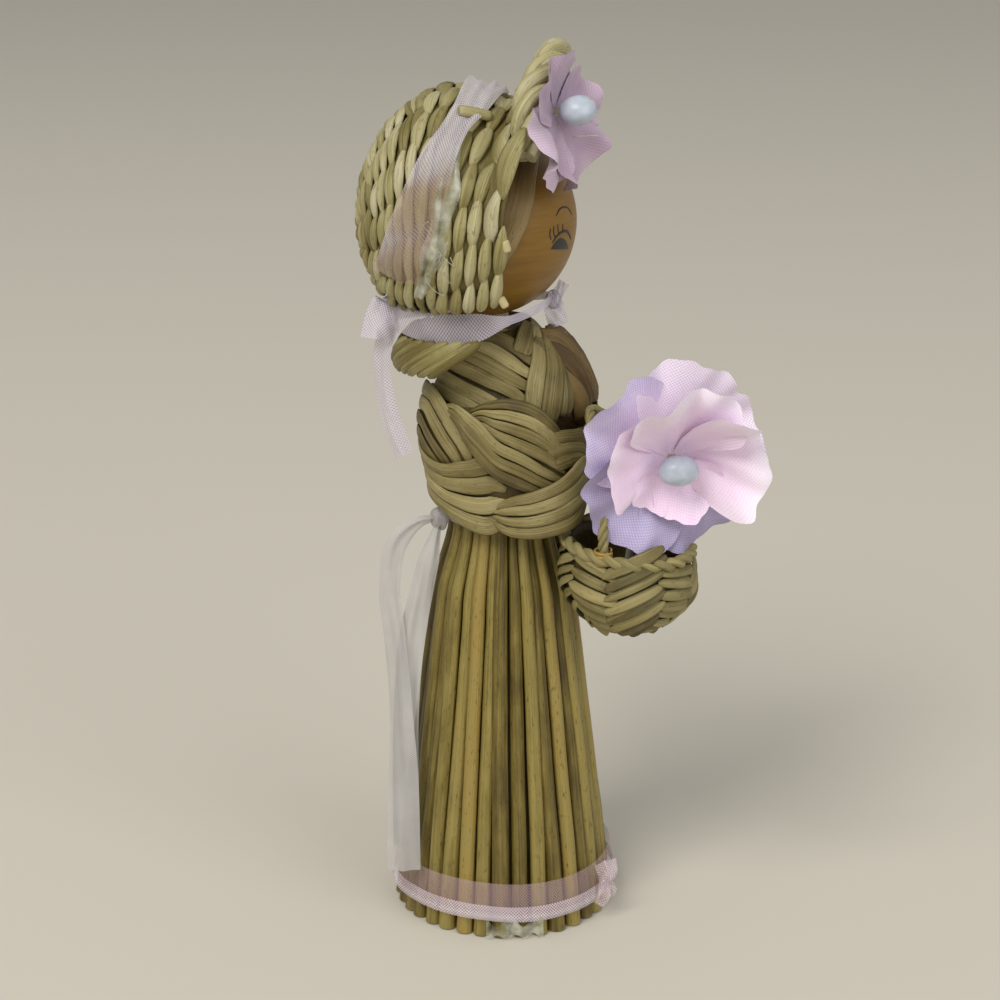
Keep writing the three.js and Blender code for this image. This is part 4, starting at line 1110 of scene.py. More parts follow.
# %% Arms
# Each band: its upper edge, its lower edge, its heights over the lining, and its number of strips.
ARM_BANDS = [
    ([(178, 19.6), (160, 20.9), (135, 21.4), (114, 20.8), (93, 17.4), (82, 13.8), (77, 10.0)],
     [(178, 11.4), (168, 11.6), (154, 12.6), (140, 12.6), (130, 10.6), (122, 8.4), (114, 6.0)],
     [0.5, 0.8, 0.9, 0.9, 0.5], 4),
    ([(178, 15.0), (150, 13.0), (125, 11.2), (107, 10.6), (84, 11.4), (66, 11.6), (56, 9.0)],
     [(178, 5.2), (150, 4.4), (120, 3.0), (100, 1.2), (86, -0.2), (72, -0.8), (58, 1.6)],
     [0.6, 1.0, 1.4, 1.4, 0.6], 4),
    ([(84, 18.0), (74, 18.9), (63, 19.4), (48, 20.0), (36, 19.0), (26, 15.6), (18, 10.7)],
     [(84, 16.0), (72, 15.8), (60, 14.2), (46, 12.4), (33, 10.2), (22, 7.6)],
     [0.6, 1.2, 1.5, 1.5, 1.2, 0.6], 4),
    ([(108, 19.0), (92, 19.0), (78, 17.6), (60, 14.4), (46, 12.5), (32, 9.4), (20, 7.0)],
     [(103, 17.6), (89, 16.0), (77, 12.2), (62, 8.7), (47, 6.4), (36, 4.6), (26, 3.6)],
     [0.5, 1.4, 2.0, 2.1, 1.9, 0.9, 0.5], 3),
    ([(66, 3.6), (52, 5.5), (38, 6.5), (26, 7.8), (14, 9.9), (3, 10.4)],
     [(72, 1.4), (60, -0.3), (48, -1.0), (34, -0.9), (20, 0.2), (8, 4.2)],
     [0.7, 1.6, 2.1, 2.2, 2.0, 1.4], 4),
]
HAND_STRIPS = [
    [(30, 13.8), (18, 13.4), (6, 12.6), (-3, 10.4)],
    [(32, 11.6), (18, 11.8), (8, 11.0), (-2, 8.8)],
    [(28, 9.6), (16, 10.0), (7, 9.4), (0, 7.2)],
]
HAND_LIFT, HAND_WIDTH = 1.0, 2.3


def arm_plait(name, hand, seed):
    bundle = Bundle(seed)
    on = mirrored(arm, hand)
    angles = np.linspace(178, 2, 70)
    share = (180 - angles) / 180
    to_elbow, to_hand = ease(share / 0.6), ease((share - 0.7) / 0.2)
    half = lerp(lerp(8.0, 10.2, to_elbow), HAND_HALF, to_hand) - 0.8
    middle = lerp(lerp(12.5, 9.2, to_elbow), HAND_RISE, to_hand)
    shade_lining(bundle, on, angles, middle - half, middle + half, 0.0, 0.6)
    for top, low, lift, strips in ARM_BANDS:
        band(bundle, on, top, low, lift, strips)
    hands = Bundle(seed + 5)
    for points in HAND_STRIPS:
        path, normal = on(*smooth(points, 26).T)
        hands.strip(path + normal * HAND_LIFT, normal, HAND_WIDTH, 0.45, 0.1, taper=0.4)
    hands.build("hand_leaves_" + name, leaf, UPPER, "body", (), "leaf")
    bundle.build("arm_plait_" + name, leaf, UPPER, "body", ["arm_" + name], "leaf")


arm_plait("right", 1, 31)
arm_plait("left", -1, 32)

# %% [markdown]
# ## Head bead
# The head is a turned wooden bead with a bore for its peg. A UV sphere has no bore, and cutting one
# leaves poor faces at its edge. So the bead is a profile that goes round the ball and back up through
# the bore, turned about the axis.

# %% Head bead
HEAD_RADIUS = 14.2


def head_bead():
    bundle = Bundle(41)
    edge = math.asin((PEG_RADIUS + GAP) / HEAD_RADIUS)
    polar = np.append(np.linspace(edge, math.pi - edge, 60), edge)
    radius, height = HEAD_RADIUS * np.sin(polar), HEAD_RADIUS * np.cos(polar)
    points = around(np.linspace(0, 360, 96, endpoint=False)[None], radius[:, None], height[:, None])
    bundle.grid(points, points, 0.5, closed=True)
    bundle.build("bead", bead_wood, HEAD, "head", ["head_bead"], "bead_wood")


head_bead()

# %% [markdown]
# ## Painted eyes
# Each eye is a few strokes of a fine brush: brow, lid, lashes and the dark half of the pupil. They could
# be an image on the bead. Thin strips that lie on it stay sharp at any size, and their points are angles
# from the middle of the face, so the other eye is the same with its sign turned.

# %% Painted eyes
BROW = [(33.1, 3.7), (28.2, 7.1), (23.3, 7.5), (18.3, 6.2), (13.3, 1.3)]
LID = [(37.2, -11.6), (32.9, -8.1), (27.9, -6.5), (23.1, -6.7), (16.6, -10.7), (13.7, -13.6)]
LASHES = [[(38.3, -9.6), (39.4, -6), (38.6, -2.5)], [(34.8, -8.4), (36.2, -5), (35.7, -1.7)],
          [(31, -7.2), (32.1, -4), (31.9, -1.2)], [(26.7, -6.7), (27.2, -4), (26.7, -2)]]
STROKES = [(BROW, 0.28), (LID, 0.42)] + [(lash, 0.22) for lash in LASHES]
PUPIL_TOP = [(37.6, -15.0), (34.6, -11.6), (29.7, -9.8), (24.0, -11.6), (16.1, -18.5)]
PUPIL_LOW = [(37.6, -15.3), (32, -16.4), (26.5, -17.2), (21, -18.0), (16.1, -18.8)]


def on_bead(side_deg, up_deg, radius):
    up = np.radians(up_deg)
    return around(side_deg, radius * np.cos(up), radius * np.sin(up))


def eye(bundle, hand):
    for line, width in STROKES:
        at = smooth(line, 22)
        path = on_bead(hand * at[:, 0], at[:, 1], HEAD_RADIUS + 0.02)
        bundle.strip(path, unit(path), width, 0.1, 0.0, 0.5, 6, taper=0.6)
    top, low = smooth(PUPIL_TOP, 24), smooth(PUPIL_LOW, 24)
    at = lerp(low[None], top[None], np.linspace(0, 1, 10)[:, None, None])
    points = on_bead(hand * at[..., 0], at[..., 1], HEAD_RADIUS + 0.05)
    bundle.grid(points, points, 0.5)


face = Bundle(42)
eye(face, 1)
eye(face, -1)
face.build("face_paint", black_paint, HEAD, "head", (), "bead_wood", solid=False)

# %% [markdown]
# ## Hair
# The hair is brown leaf, laid from the middle of the forehead down beside the face. Only its first
# strips show under the bonnet. A particle system makes hair of threads, and these are broad leaves, so
# seven strips fan out on each side, each a little lower than the one before and painted darker, as
# shade deeper under the bonnet.

# %% Hair
HAIR_EDGE = ([0, 40, 70, 86, 100, 111, 132], [134, 131, 127, 122, 114, 105, 94])
HAIR_FAN = ([0, 30, 80, 132], [3.5, 5.5, 8.5, 6.5])
HAIR_STRIPS = 7


def over_head(turn_deg, polar_deg, radius):
    """Points by their turn from the top of the head and their angle from the back of it."""
    turn, polar = np.radians(turn_deg), np.radians(polar_deg)
    ring = radius * np.sin(polar)
    return np.stack([ring * np.sin(turn), radius * np.cos(polar), ring * np.cos(turn)], -1)


scalp = surface_of(lambda turn, polar: over_head(turn, polar, HEAD_RADIUS), 0.5, 0.5)
hair = Bundle(43)
for hand in (1, -1):
    for k in range(HAIR_STRIPS):
        turn = np.linspace(2, 130 - 2 * k, 46)
        fan = np.interp(turn, *HAIR_FAN)
        path, normal = scalp(hand * turn, np.interp(turn, *HAIR_EDGE) - 4 - k * fan)
        # Painted shade: each strip further under the bonnet gets a darker tone.
        tone = 0.8 - 0.32 * k + hair.rng.uniform(-0.1, 0.1)
        path = path + normal * (0.75 - 0.04 * k)
        hair.strip(path, normal, 0.275 * fan + 0.5, 0.5, 0.25, tone, taper=0.5)
hair.build("hair", brown_leaf, HEAD, "head", ["hair_strips"], "leaf")

# %% [markdown]
# ## Form of the bonnet
# The bonnet goes over the head from ear to ear. Its back is a cap, a crease runs across it, and the brim
# flares out before the crease. A sculpted shell could have that form. A formula by the turn over the head
# and the angle from its back gives it too, and every stitch and ribbon can lie on it exactly.

# %% Bonnet surface
BONNET_BASE = HEAD_RADIUS + 0.8 + 2.1 + 2 * GAP + 0.7
BONNET_CROWN_RISE, BONNET_FOOT = 2.3, -11.0
SEAM_DEG, BRIM_SIDE_DEG, BRIM_TOP_DEG = 74.0, 105.0, 121.0
BRIM_FLARE, BRIM_CREASE = 11.0, 0.22


def brim_edge(turn_deg):
    return lerp(BRIM_SIDE_DEG, BRIM_TOP_DEG, np.maximum(0, np.cos(np.radians(turn_deg))) ** 2)


def bonnet_point(turn_deg, polar_deg):
    turn = np.radians(turn_deg)
    top = np.maximum(0, np.cos(turn))
    share = np.maximum(0, np.cos(0.75 * turn)) ** 2
    edge = brim_edge(turn_deg)
    crown = BONNET_CROWN_RISE * top * np.sin(np.radians(polar_deg)) ** 2
    crease_deg = lerp(SEAM_DEG, edge, 1 - BRIM_CREASE)
    crease = crown * ease((polar_deg - SEAM_DEG) / (crease_deg - SEAM_DEG))
    flare = BRIM_FLARE * share * ease((polar_deg - crease_deg) / (edge - crease_deg))
    return over_head(turn_deg, polar_deg, BONNET_BASE + crown - crease + flare)


bonnet = surface_of(bonnet_point, 0.6, 0.5)
print("bonnet over the crown", np.linalg.norm(bonnet_point(0.0, 90.0)).round(2), "from the bead's middle")

# %% [markdown]
# ## Plait stitches
# The bonnet is a flat plait of many strands. What shows of a strand is a short lens, between the places
# where it dips under its neighbours. A strand could be modelled all along, over and under, but most of
# it would be hidden. So rows of lenses lie side by side, each half a pitch after the next row's.

# %% Stitches
LENS_REACH, LENS_LOW, LENS_ARCH = 0.34, -0.95, 0.72


def stitches(bundle, end_deg, polar_at, columns, arc, pitch, foot, lean=0.2):
    """Lenses in columns down both sides of the bonnet, above its foot."""
    reach = LENS_REACH * pitch
    a = np.linspace(-reach, reach, 15)
    lens = np.cos(np.pi * a / (2.06 * reach)) ** 0.8
    arch = np.cos(np.pi * a / (2 * reach)) ** 0.8
    step = math.degrees(pitch / arc)
    for column, hand in [(column, hand) for column in range(columns) for hand in (-1, 1)]:
        share = (column + 0.5) / columns
        for start in np.arange(0, end_deg, step) + ((column % 2) / 2 - 0.03 * column) * step:
            turn = hand * start
            both = np.full(2, turn)
            ends = bonnet_point(both, polar_at(both, share + np.array([-0.5, 0.5]) / columns))
            apart = np.linalg.norm(ends[1] - ends[0])
            leaning = -hand * (lean + bundle.rng.uniform(-0.05, 0.05)) * a / (apart * columns)
            at = turn + np.degrees(a / arc) + bundle.rng.uniform(-0.03, 0.03) * step
            path, normal = bonnet(at, polar_at(at, share + leaning))
            lift = LENS_LOW + LENS_ARCH * arch + bundle.rng.uniform(-0.1, 0.1)
            path = path + normal * lift[:, None]
            path = path - normal * 0.6 * np.maximum(0, BONNET_FOOT + 0.5 - path[:, 2:])
            shown = path[:, 2] > foot
            if shown.sum() > 5:
                wide = apart * bundle.rng.uniform(1.62, 1.9) * (0.16 + 0.84 * lens)
                thick = 0.3 + 0.6 * lens
                bundle.strip(path[shown], normal[shown], wide[shown], thick[shown], 0.1, sides=9, taper=0.2)


print("a stitch stands", LENS_LOW, "to", round(LENS_LOW + LENS_ARCH, 2), "off the bonnet")

# %% [markdown]
# ## Brim plait
# The brim is the front plait of the bonnet. It starts under the crown's edge and ends in the flare. A
# lattice of curves could be bent to that form, but its strands would stretch with it. Columns of
# stitches keep their size, over a lining, painted dark as shade, that closes the gaps between them.

# %% Brim plait
BRIM_START = SEAM_DEG - 5
LINING_LIFT, LINING_THICK, LINING_ROWS = -1.7, 0.85, 12


def brim_polar(turn, share):
    front_cut = 6.5 * np.maximum(0, np.cos(np.radians(turn))) ** 4
    return lerp(BRIM_START, brim_edge(turn) + 0.5 - front_cut, share)


brim = Bundle(51)
stitches(brim, 142, brim_polar, 11, 19.5, 12.5, BONNET_FOOT - 2.8)
turns = np.linspace(-118, 118, 90)
edge = brim_polar(turns, 0.97)
shade_lining(brim, bonnet, turns, BRIM_START, edge, LINING_LIFT, LINING_THICK, LINING_ROWS)
brim.build("brim_plait", plait, HEAD, "head", ["bonnet_brim_plait"], "plait")

# %% [markdown]
# ## Edge of the brim
# A thick rope of three strands finishes the brim over the face and sinks into the plait at both sides.
# A curve with a round bevel would be a plain tube there. The cord tree follows the same path and shows
# the strands.

# %% Brim edge
turns = np.linspace(-56, 56, 130)
path, normal = bonnet(turns, brim_edge(turns) - 3.2)
sunk = 0.4 + 2.6 * ease((np.abs(turns) - 34) / 22)
cord("brim_edge", path - normal * sunk[:, None], 3, 13.0, 1.15, 1.15, plait, HEAD, "head", ())

# %% [markdown]
# ## Crown plait
# The crown covers the back of the head. Its middle is not seen in the photograph, so a plain cap could
# do. A wide plait that goes round, a narrower one inside it and a coil in the centre are chosen,
# because straw plaits are sewn that way.

# %% Crown plait
crown = Bundle(52)
stitches(crown, 180, lambda turn, share: lerp(37.0, 71.5, share), 11, 15.0, 11.5, BONNET_FOOT - 1.5)
stitches(crown, 180, lambda turn, share: lerp(9.0, 38.5, share), 9, 8.2, 9.5, BONNET_FOOT)
coil = np.linspace(0, 1.6, 60)
path, normal = bonnet(360 * coil, 1.5 + 6.0 * coil)
crown.strip(path - normal * 0.6, normal, 2.0, 1.2, 0.2, taper=0.5)
turns = np.linspace(-180, 180, 90)
below = np.interp(np.abs(turns), [118, 130, 180], [58, 46, 36])
edge = np.where(np.abs(turns) < 118, 72.0, below)
shade_lining(crown, bonnet, turns, 1.0, edge, LINING_LIFT, LINING_THICK, LINING_ROWS)
crown.build("crown_plait", plait, HEAD, "head", ["bonnet_crown_plait"], "plait")

# %% [markdown]
# ## Frill at the nape
# Under the bonnet the ends of the plait stand out round the nape. They could be one pleated ring. They
# are single stems that rise at a slant, so a loop lays one strip for each and shortens those next to
# the face.

# %% Nape frill
NECK_RIBBON_HEIGHT, NECK_RIBBON_BACK = 4.4, 2.4
RIBBON_TOP = BONNET_FOOT - GAP
RIBBON_LOW = RIBBON_TOP - NECK_RIBBON_HEIGHT
NECK_RIBBON_RADIUS = math.sqrt(HEAD_RADIUS**2 - RIBBON_TOP**2) + 2 * GAP + NECK_RIBBON_BACK
FRILL_STEP_DEG, FRILL_SLANT_DEG, FRILL_FRONT_DEG = 9.5, 44, 90

frill = Bundle(53)
share = np.linspace(0, 1, 20)
for hand in (1, -1):
    for start in np.arange(192, 118, -FRILL_STEP_DEG):
        angle = np.linspace(start, max(start - FRILL_SLANT_DEG, FRILL_FRONT_DEG), 20)
        rise = lerp(RIBBON_LOW - 5.2, RIBBON_LOW - 0.2, share)
        bulge = 1.7 * np.sin(np.pi * (0.25 + 0.6 * share))
        radius = NECK_RIBBON_RADIUS + 1.2 + bulge + frill.rng.uniform(-0.15, 0.15)
        tone = frill.rng.uniform(-0.2, 0.35)
        out = around(hand * angle, 1, 0.15)
        frill.strip(around(hand * angle, radius, rise), out, 1.75, 1.0, 0.1, tone, taper=0.5)
frill.build("nape_frill", plait, HEAD, "head", ["bonnet_frill"], "plait")

# %% [markdown]
# ## Form of the basket
# The basket is a small bowl, round below and drawn in a little at the rim, that hangs against the
# skirt. Its profile could be drawn and spun. As a formula it can also carry the strips, and its
# distance from the doll comes from the skirt's own rule, so that it does not cut into the stems.

# %% Basket surface
BASKET_RIM = WAIST - 1.4
BASKET_DEPTH, BASKET_RADIUS, BASKET_FLOOR = 13.4, 10.0, 5.0
BASKET_BELLY, BASKET_DRAW_IN, BASKET_TILT = 0.55, 0.4, 1.2
BASKET_FOOT = BASKET_RIM - BASKET_DEPTH


def basket_profile(share):
    bottom = np.sin(np.pi / 2 * np.clip(share / BASKET_BELLY, 0, 1))
    drawn = BASKET_DRAW_IN * ease((share - BASKET_BELLY) / (1 - BASKET_BELLY))
    return lerp(BASKET_FLOOR, BASKET_RADIUS, bottom) - drawn


shares = np.linspace(0, 1, 9)
reach = skirt_radius(lerp(BASKET_FOOT, BASKET_RIM, shares)) + basket_profile(shares)
BASKET_CENTRE = -(reach.max() + 0.4 + GAP)
IN_BASKET = DOLL @ Matrix.Translation((0, BASKET_CENTRE * MM, 0))


def basket_point(angle, share):
    tilt = -BASKET_TILT * share * np.cos(np.radians(angle))
    return around(angle, basket_profile(share), lerp(BASKET_FOOT, BASKET_RIM, share) + tilt)


bowl = surface_of(basket_point, 0.6, 0.01)
print("basket centre", round(BASKET_CENTRE, 2), "from the axis")

# %% [markdown]
# ## Basket strips
# The basket's strips climb from both sides to four lines and meet there in chevrons. At the line on the
# right some run on above the rim. Each strip is one path on the bowl that rises at its own slope. A
# strip is cut where it would leave the bowl, which a texture could not do at the rim.

# %% Basket strips
SPINE_DEG, ROW_PITCH = 78.0, 1.9
# Each side of a chevron: its way round, its slope and its height over the other at the line.
CHEVRON_SIDES = ((-1, 0.56, 0.5), (1, 0.16, 0.1))

basket = Bundle(61)
draw = basket.rng.uniform
s = np.linspace(0, 1, 26)
for spine, row in [(spine, row) for spine in range(4) for row in range(-3, 8)]:
    for way, slope, over in CHEVRON_SIDES:
        angle = lerp(-8, 48, s) + draw(-2, 2)
        climb = (slope + draw(-0.06, 0.06)) * BASKET_RADIUS * np.radians(angle)
        rise = ROW_PITCH * (row + 0.25 * (1 + way)) + climb
        share = (rise + 0.35 * np.sin(np.pi * s) + draw(-0.15, 0.15)) / BASKET_DEPTH
        above = 0.3 * ease((s - 0.5) / 0.3) if spine == 0 and way < 0 else 0.0
        shown = (share > 0.01) & (share < 0.97 + above)
        if shown.sum() > 11:
            path, normal = bowl(SPINE_DEG + 90 * spine + way * angle, share)
            height = -0.35 + over * (1 - s) + 0.35 * np.sin(np.pi * s) + draw(-0.12, 0.12)
            path = path + normal * height[:, None]
            tilt = unit(normal + np.array([0, 0, 0.4]))
            wide = draw(1.65, 2.1) * (0.3 + 0.7 * np.sin(np.pi * (0.08 + 0.86 * s)) ** 0.6)
            basket.strip(path[shown], tilt[shown], wide[shown], 0.36, 0.05, taper=0.3)
shade_lining(basket, bowl, np.linspace(0, 360, 60), 0.0, 0.985, -1.5, 0.8)
coil = np.linspace(0.3, 4.4, 130)
path = around(360 * coil, 1.28 * coil, BASKET_FOOT + 0.75)
basket.strip(path, np.array([0, 0, 1.0]), 1.5, 1.2, 0.0, taper=0.4)
basket.build("plaited_basket", basket_rush, IN_BASKET, "basket", ["basket"], "plait")

# %% [markdown]
# ## Basket rim
# The basket's rim is bound with two strands. A torus would not follow the bowl's edge, which is tilted
# a little forward. The cord tree takes a path that is read off the same surface as the strips.

# %% Basket rim
path, normal = bowl(np.linspace(0, 360, 120), np.full(120, 0.965))
path = path - normal * 0.15 + np.array([0, 0, 0.1])
cord("basket_rim", path, 2, 5.2, 0.42, 0.6, basket_rush, IN_BASKET, "basket", ())

# %% [markdown]
# ## Basket handle
# The handle goes from the rim up over the joined hands, hidden by the flower for the most part. A half
# circle could be drawn by eye, but the basket swings about the hands, so its top is measured from that
# joint. A gold strand ties each foot to the rim.

# %% Basket handle
hand_at = Vector(joints["basket_swing"]["pos_m"]) - axis_at
hand_y, hand_z = hand_at.y / MM, hand_at.z / MM
apex = hand_z + HAND_HALF * math.cos(LEAN) + 3 * GAP + 0.8
foot_apart = float(basket_profile(np.array(1.0))) * 0.9
# Each point of a leg: how far apart the legs are, how far from the hands to the basket, and its height.
HANDLE_LEG = [(1, 1, BASKET_RIM - 2.0), (1, 1, BASKET_RIM + GAP), (0.85, 0.85, lerp(BASKET_RIM, apex, 0.4)),
              (0.5, 0.4, lerp(BASKET_RIM, apex, 0.82))]
TIE_TURNS, TIE_RADIUS, TIE_PITCH = 4, 1.25, 0.55

arch = [(-x * foot_apart, lerp(hand_y, BASKET_CENTRE, y), z) for x, y, z in HANDLE_LEG]
arch += [(0, hand_y, apex)] + [(-x, y, z) for x, y, z in arch[::-1]]
path = smooth(arch, 90)
cord("basket_cord", path, 3, 5.0, 0.42, 0.42, basket_rush, DOLL, "basket", ["basket_handle"])
turns = np.linspace(0, TIE_TURNS, 70)
for hand, name in ((-1, "right"), (1, "left")):
    tie = Bundle(63)
    foot = np.array([hand * foot_apart, BASKET_CENTRE, 0])
    path = foot + around(360 * turns, TIE_RADIUS, BASKET_RIM - 1.3 + TIE_PITCH * turns)
    tie.strip(path, around(360 * turns, 1, 0), 0.6, 0.35, 0.0, taper=0.4)
    tie.build("handle_tie_" + name, gold_strand, DOLL, "basket", (), "plait")

# %% [markdown]
# ## A length of ribbon
# A ribbon is one layer of sheer cloth. It is gathered where it leaves a knot, curls a little across its
# width and ripples along its length. A cloth simulation would drape it by chance. Here it follows a path
# that was read off the photograph, and the curl and the ripple are added to it.

# %% Ribbon
RIBBON_COLUMNS, GATHERED_TO = 13, 0.35


def ribbon(bundle, path, face, width, tone, curl, ripple, count):
    """A ribbon along a path. Its flat side faces a way, or turns between several."""
    path = smooth(path, count)
    face = smooth(face, count) if np.ndim(face) > 1 else np.broadcast_to(face, path.shape)
    tangent = unit(np.gradient(path, axis=0))
    across = unit(np.cross(face, tangent))
    out = np.cross(tangent, across)
    v = np.linspace(-1, 1, RIBBON_COLUMNS)[None]
    s = np.linspace(0, 1, count)[:, None]
    wide = np.interp(s, np.linspace(0, 1, np.size(width)), np.atleast_1d(width)) / 2
    wide = wide * lerp(GATHERED_TO, 1, ease(s / 0.14))
    phase = bundle.rng.uniform(0, 6, 2)
    fold = curl * (1 - v**2) + ripple * np.sin(3.2 * v + 5 * s + phase[0])
    fold = fold + 0.5 * ripple * np.sin(7 * v - 9 * s + phase[1])
    flat = path[:, None] + across[:, None] * (wide * v)[..., None]
    bundle.sheet(flat + out[:, None] * fold[..., None], tone)


print("ribbon", RIBBON_COLUMNS, "points across, gathered to", GATHERED_TO, "at a knot")


# %% [markdown]
# ## Knots
# A knot is too small to be tied. A dented lump of the same cloth reads as one. Each ribbon is declared
# as a sheet with its flat size, taken from the area of its mesh as one strip of stock width with a
# little over, because it was cut from a roll before it was gathered.


def knot(name, centre, radii, material, place, body, slot, seed=7):
    bundle = Bundle(seed)
    bundle.lump(centre, radii)
    return bundle.build(name, material, place, body, (), slot)


# %% [markdown]
# ## Bands round the skirt
# Both the sash and the hem trim go once round the stems. A ring would be smooth, and real ribbon is
# drawn in by its thread. So the band takes the skirt's own radius and adds pleats, as waves round it.

# %% Band round the skirt


def skirt_band(bundle, low, high, out, start, tone, gathers, depth, dense=0.0):
    """A ribbon round the stems, with gathers of a depth, and denser along its thread."""
    turn = np.linspace(0, 360, 241)[:, None]
    v = np.linspace(0, 1, 11)[None]
    z = lerp(low, high, v) + 0.25 * np.sin(np.radians(3 * turn))
    pleat = depth * np.sin(np.radians(gathers * turn)) * np.sin(np.pi * v) ** 0.5
    pleat = pleat + 0.4 * depth * np.sin(np.radians(2.7 * gathers * turn + 40))
    points = around(start + turn, skirt_radius(z) + out + np.abs(pleat), z)
    bundle.sheet(points, tone + dense * np.exp(-(((v - 0.35) / 0.18) ** 2)) * np.ones_like(turn))


# %% [markdown]
# ## Sash
# The sash is white sheer ribbon, tied at the back on the right, and its two tails fall beside the
# skirt. Straight strips would look cut from card. So each tail is a path of points, with its widths and
# the ways that it faces as it twists on its way down.

# %% Sash
SASH_LOW, SASH_DEG, HANG_DEG = WAIST - 1.5, 133.0, 152.0
SASH_TIE = (9.8, 3, 63.8)
SASH_TAILS = [
    ([SASH_TIE, (12.6, 4, 63.6), (15.8, 4, 61), (17.4, 4.5, 54), (16.6, 6, 46), (16, 7.2, 38),
      (15.8, 8.6, 31), (15.7, 10.6, 20), (15.6, 12.4, 9.4)],
     [3.2, 3.4, 4.6, 5.2, 5.2], (60, 75, 100, 72, 66)),
    ([SASH_TIE, (11, 4.6, 59.6), (12.6, 5.6, 53), (14.2, 6.2, 45), (14.9, 7, 36), (15.2, 9.4, 22),
      (15.2, 11.2, 13)],
     [2.8, 4.0, 4.2, 4.0], (66, 60, 80, 64, 62)),
]


def beside(places):
    """Points beside the skirt: how far out at the hanging angle, how far round to the right, how high."""
    out, ahead, high = np.asarray(places, float).T
    return around(HANG_DEG, out, high) + around(HANG_DEG - 90, ahead, 0)


sash = Bundle(71)
skirt_band(sash, SASH_LOW + 1.3, SASH_LOW + 3.2, GAP + 0.2, SASH_DEG, 0.5, 9, 0.1)
for places, width, facing in SASH_TAILS:
    ribbon(sash, beside(places), [around(angle, 1, 0) for angle in facing], width, 0.55, 0.4, 0.3, 70)
piece = sash.build("sash", sheer_white, DOLL, "body", ["sash_ribbon"], "ribbon_white", solid=False)
tie_at = beside([SASH_TIE])[0]
tie = knot("sash_knot", tie_at, (1.5, 1.5, 1.7), sheer_white, DOLL, "body", "ribbon_white")

# %% [markdown]
# ## Hem trim
# Round the hem goes a rose ribbon in two layers: a broad sheer one, and over its lower edge a narrow
# one that is gathered more tightly and so looks denser. A stripe in the material would have no edge of
# its own. At the front, four short lengths of ribbon from one knot make a small bow.

# %% Hem trim
HEM_RIBBON_LOW, HEM_RIBBON_HEIGHT = 3.2, 6.0
HEM_SEAM_DEG, HEM_KNOT_DEG = 185, 5.0
# Each end of the bow: its side, how far up it reaches, and how far forward.
BOW_ENDS = ((-1, 3.9, 0.2), (1, 3.4, -0.3), (-1, -3.4, 0.1), (1, -2.8, -0.2))

hem = Bundle(72)
hem_top = HEM_RIBBON_LOW + HEM_RIBBON_HEIGHT
skirt_band(hem, HEM_RIBBON_LOW + 1.2, hem_top, GAP + 0.1, HEM_SEAM_DEG, 0.15, 34, 0.12)
skirt_band(hem, HEM_RIBBON_LOW, HEM_RIBBON_LOW + 2.4, GAP + 0.25, HEM_SEAM_DEG, 0.7, 46, 0.35, 0.3)
hem_outside = float(skirt_radius(np.array(HEM_RIBBON_LOW))) + GAP + 0.5
bow = around(HEM_KNOT_DEG, hem_outside + 0.85, HEM_RIBBON_LOW + HEM_RIBBON_HEIGHT / 2)
for way, rise, ahead in BOW_ENDS:
    path = [bow, bow + (way * 0.9, ahead - 0.5, rise * 0.5), bow + (way * 1.3, ahead, rise)]
    ribbon(hem, path, around(60, 1, 0), 1.9, 0.6, 0.3, 0.2, 20)
piece = hem.build("hem_trim", sheer_rose, DOLL, "body", ["hem_ribbon"], "ribbon_pink", solid=False)
tie = knot("hem_knot", bow, (0.9, 0.8, 1.1), sheer_rose, DOLL, "body", "ribbon_pink")

# %% [markdown]
# ## Crown ribbon
# A pink sheer ribbon lies over the bonnet where brim and crown meet. It is drawn together on top and
# spreads at the sides, where the straw has stained it. It lies on the bonnet's surface, so it is a grid
# on that surface, lifted by small waves, and the stain is in its tone.

# %% Crown ribbon
CROWN_MIDDLE = ([0, 20, 42, 60, 81, 100, 115], [99, 96, 87.5, 77, 67, 57, 50])
CROWN_HALF = ([0, 42, 60, 81, 112], [8.5, 6.0, 9.0, 13.2, 12.5])
CROWN_LIFT = 0.9

turn = np.linspace(-112, 112, 110)
middle = np.interp(np.abs(turn), *CROWN_MIDDLE)
middle = np.convolve(np.pad(middle, 7, mode="edge"), np.ones(15) / 15, mode="valid")[:, None]
turn = turn[:, None]
v = np.linspace(-1, 1, 17)[None]
away = np.abs(turn)
polar = middle + np.interp(away, *CROWN_HALF) * v + 0.5 * np.sin(np.radians(9 * turn)) * v**2
wave = 0.3 * np.sin(4 * v + np.radians(3 * turn)) + 0.2 * np.sin(9 * v + np.radians(7 * turn))
wave = wave + (0.5 + 0.5 * np.sin(11 * v)) * 0.4 * np.exp(-((away / 22) ** 2))
stain = ease((away - 45) / 35) * (0.55 + 0.35 * v + 0.25 * np.sin(np.radians(9 * turn)))
shade = lerp(0.8, 0.6, ease((away - 20) / 60)) - 0.55 * np.clip(stain, 0, 1)
points, normal = bonnet(np.broadcast_to(turn, polar.shape), polar)
crown_trim = Bundle(73)
crown_trim.sheet(points + normal * (CROWN_LIFT + wave)[..., None], shade)
solids = ["crown_ribbon"]
piece = crown_trim.build("crown_trim", sheer_pink, HEAD, "head", solids, "ribbon_pink", solid=False)

# %% [markdown]
# ## Neck ribbon
# A lilac ribbon holds the bonnet: a band that is narrow under the chin and wide at the nape, with a
# knot at both places. It could hang from the body, but it is tied to the bonnet and turns with the
# head. Its ends were read off beside the skirt, so they are carried from the doll's frame into the
# head's.

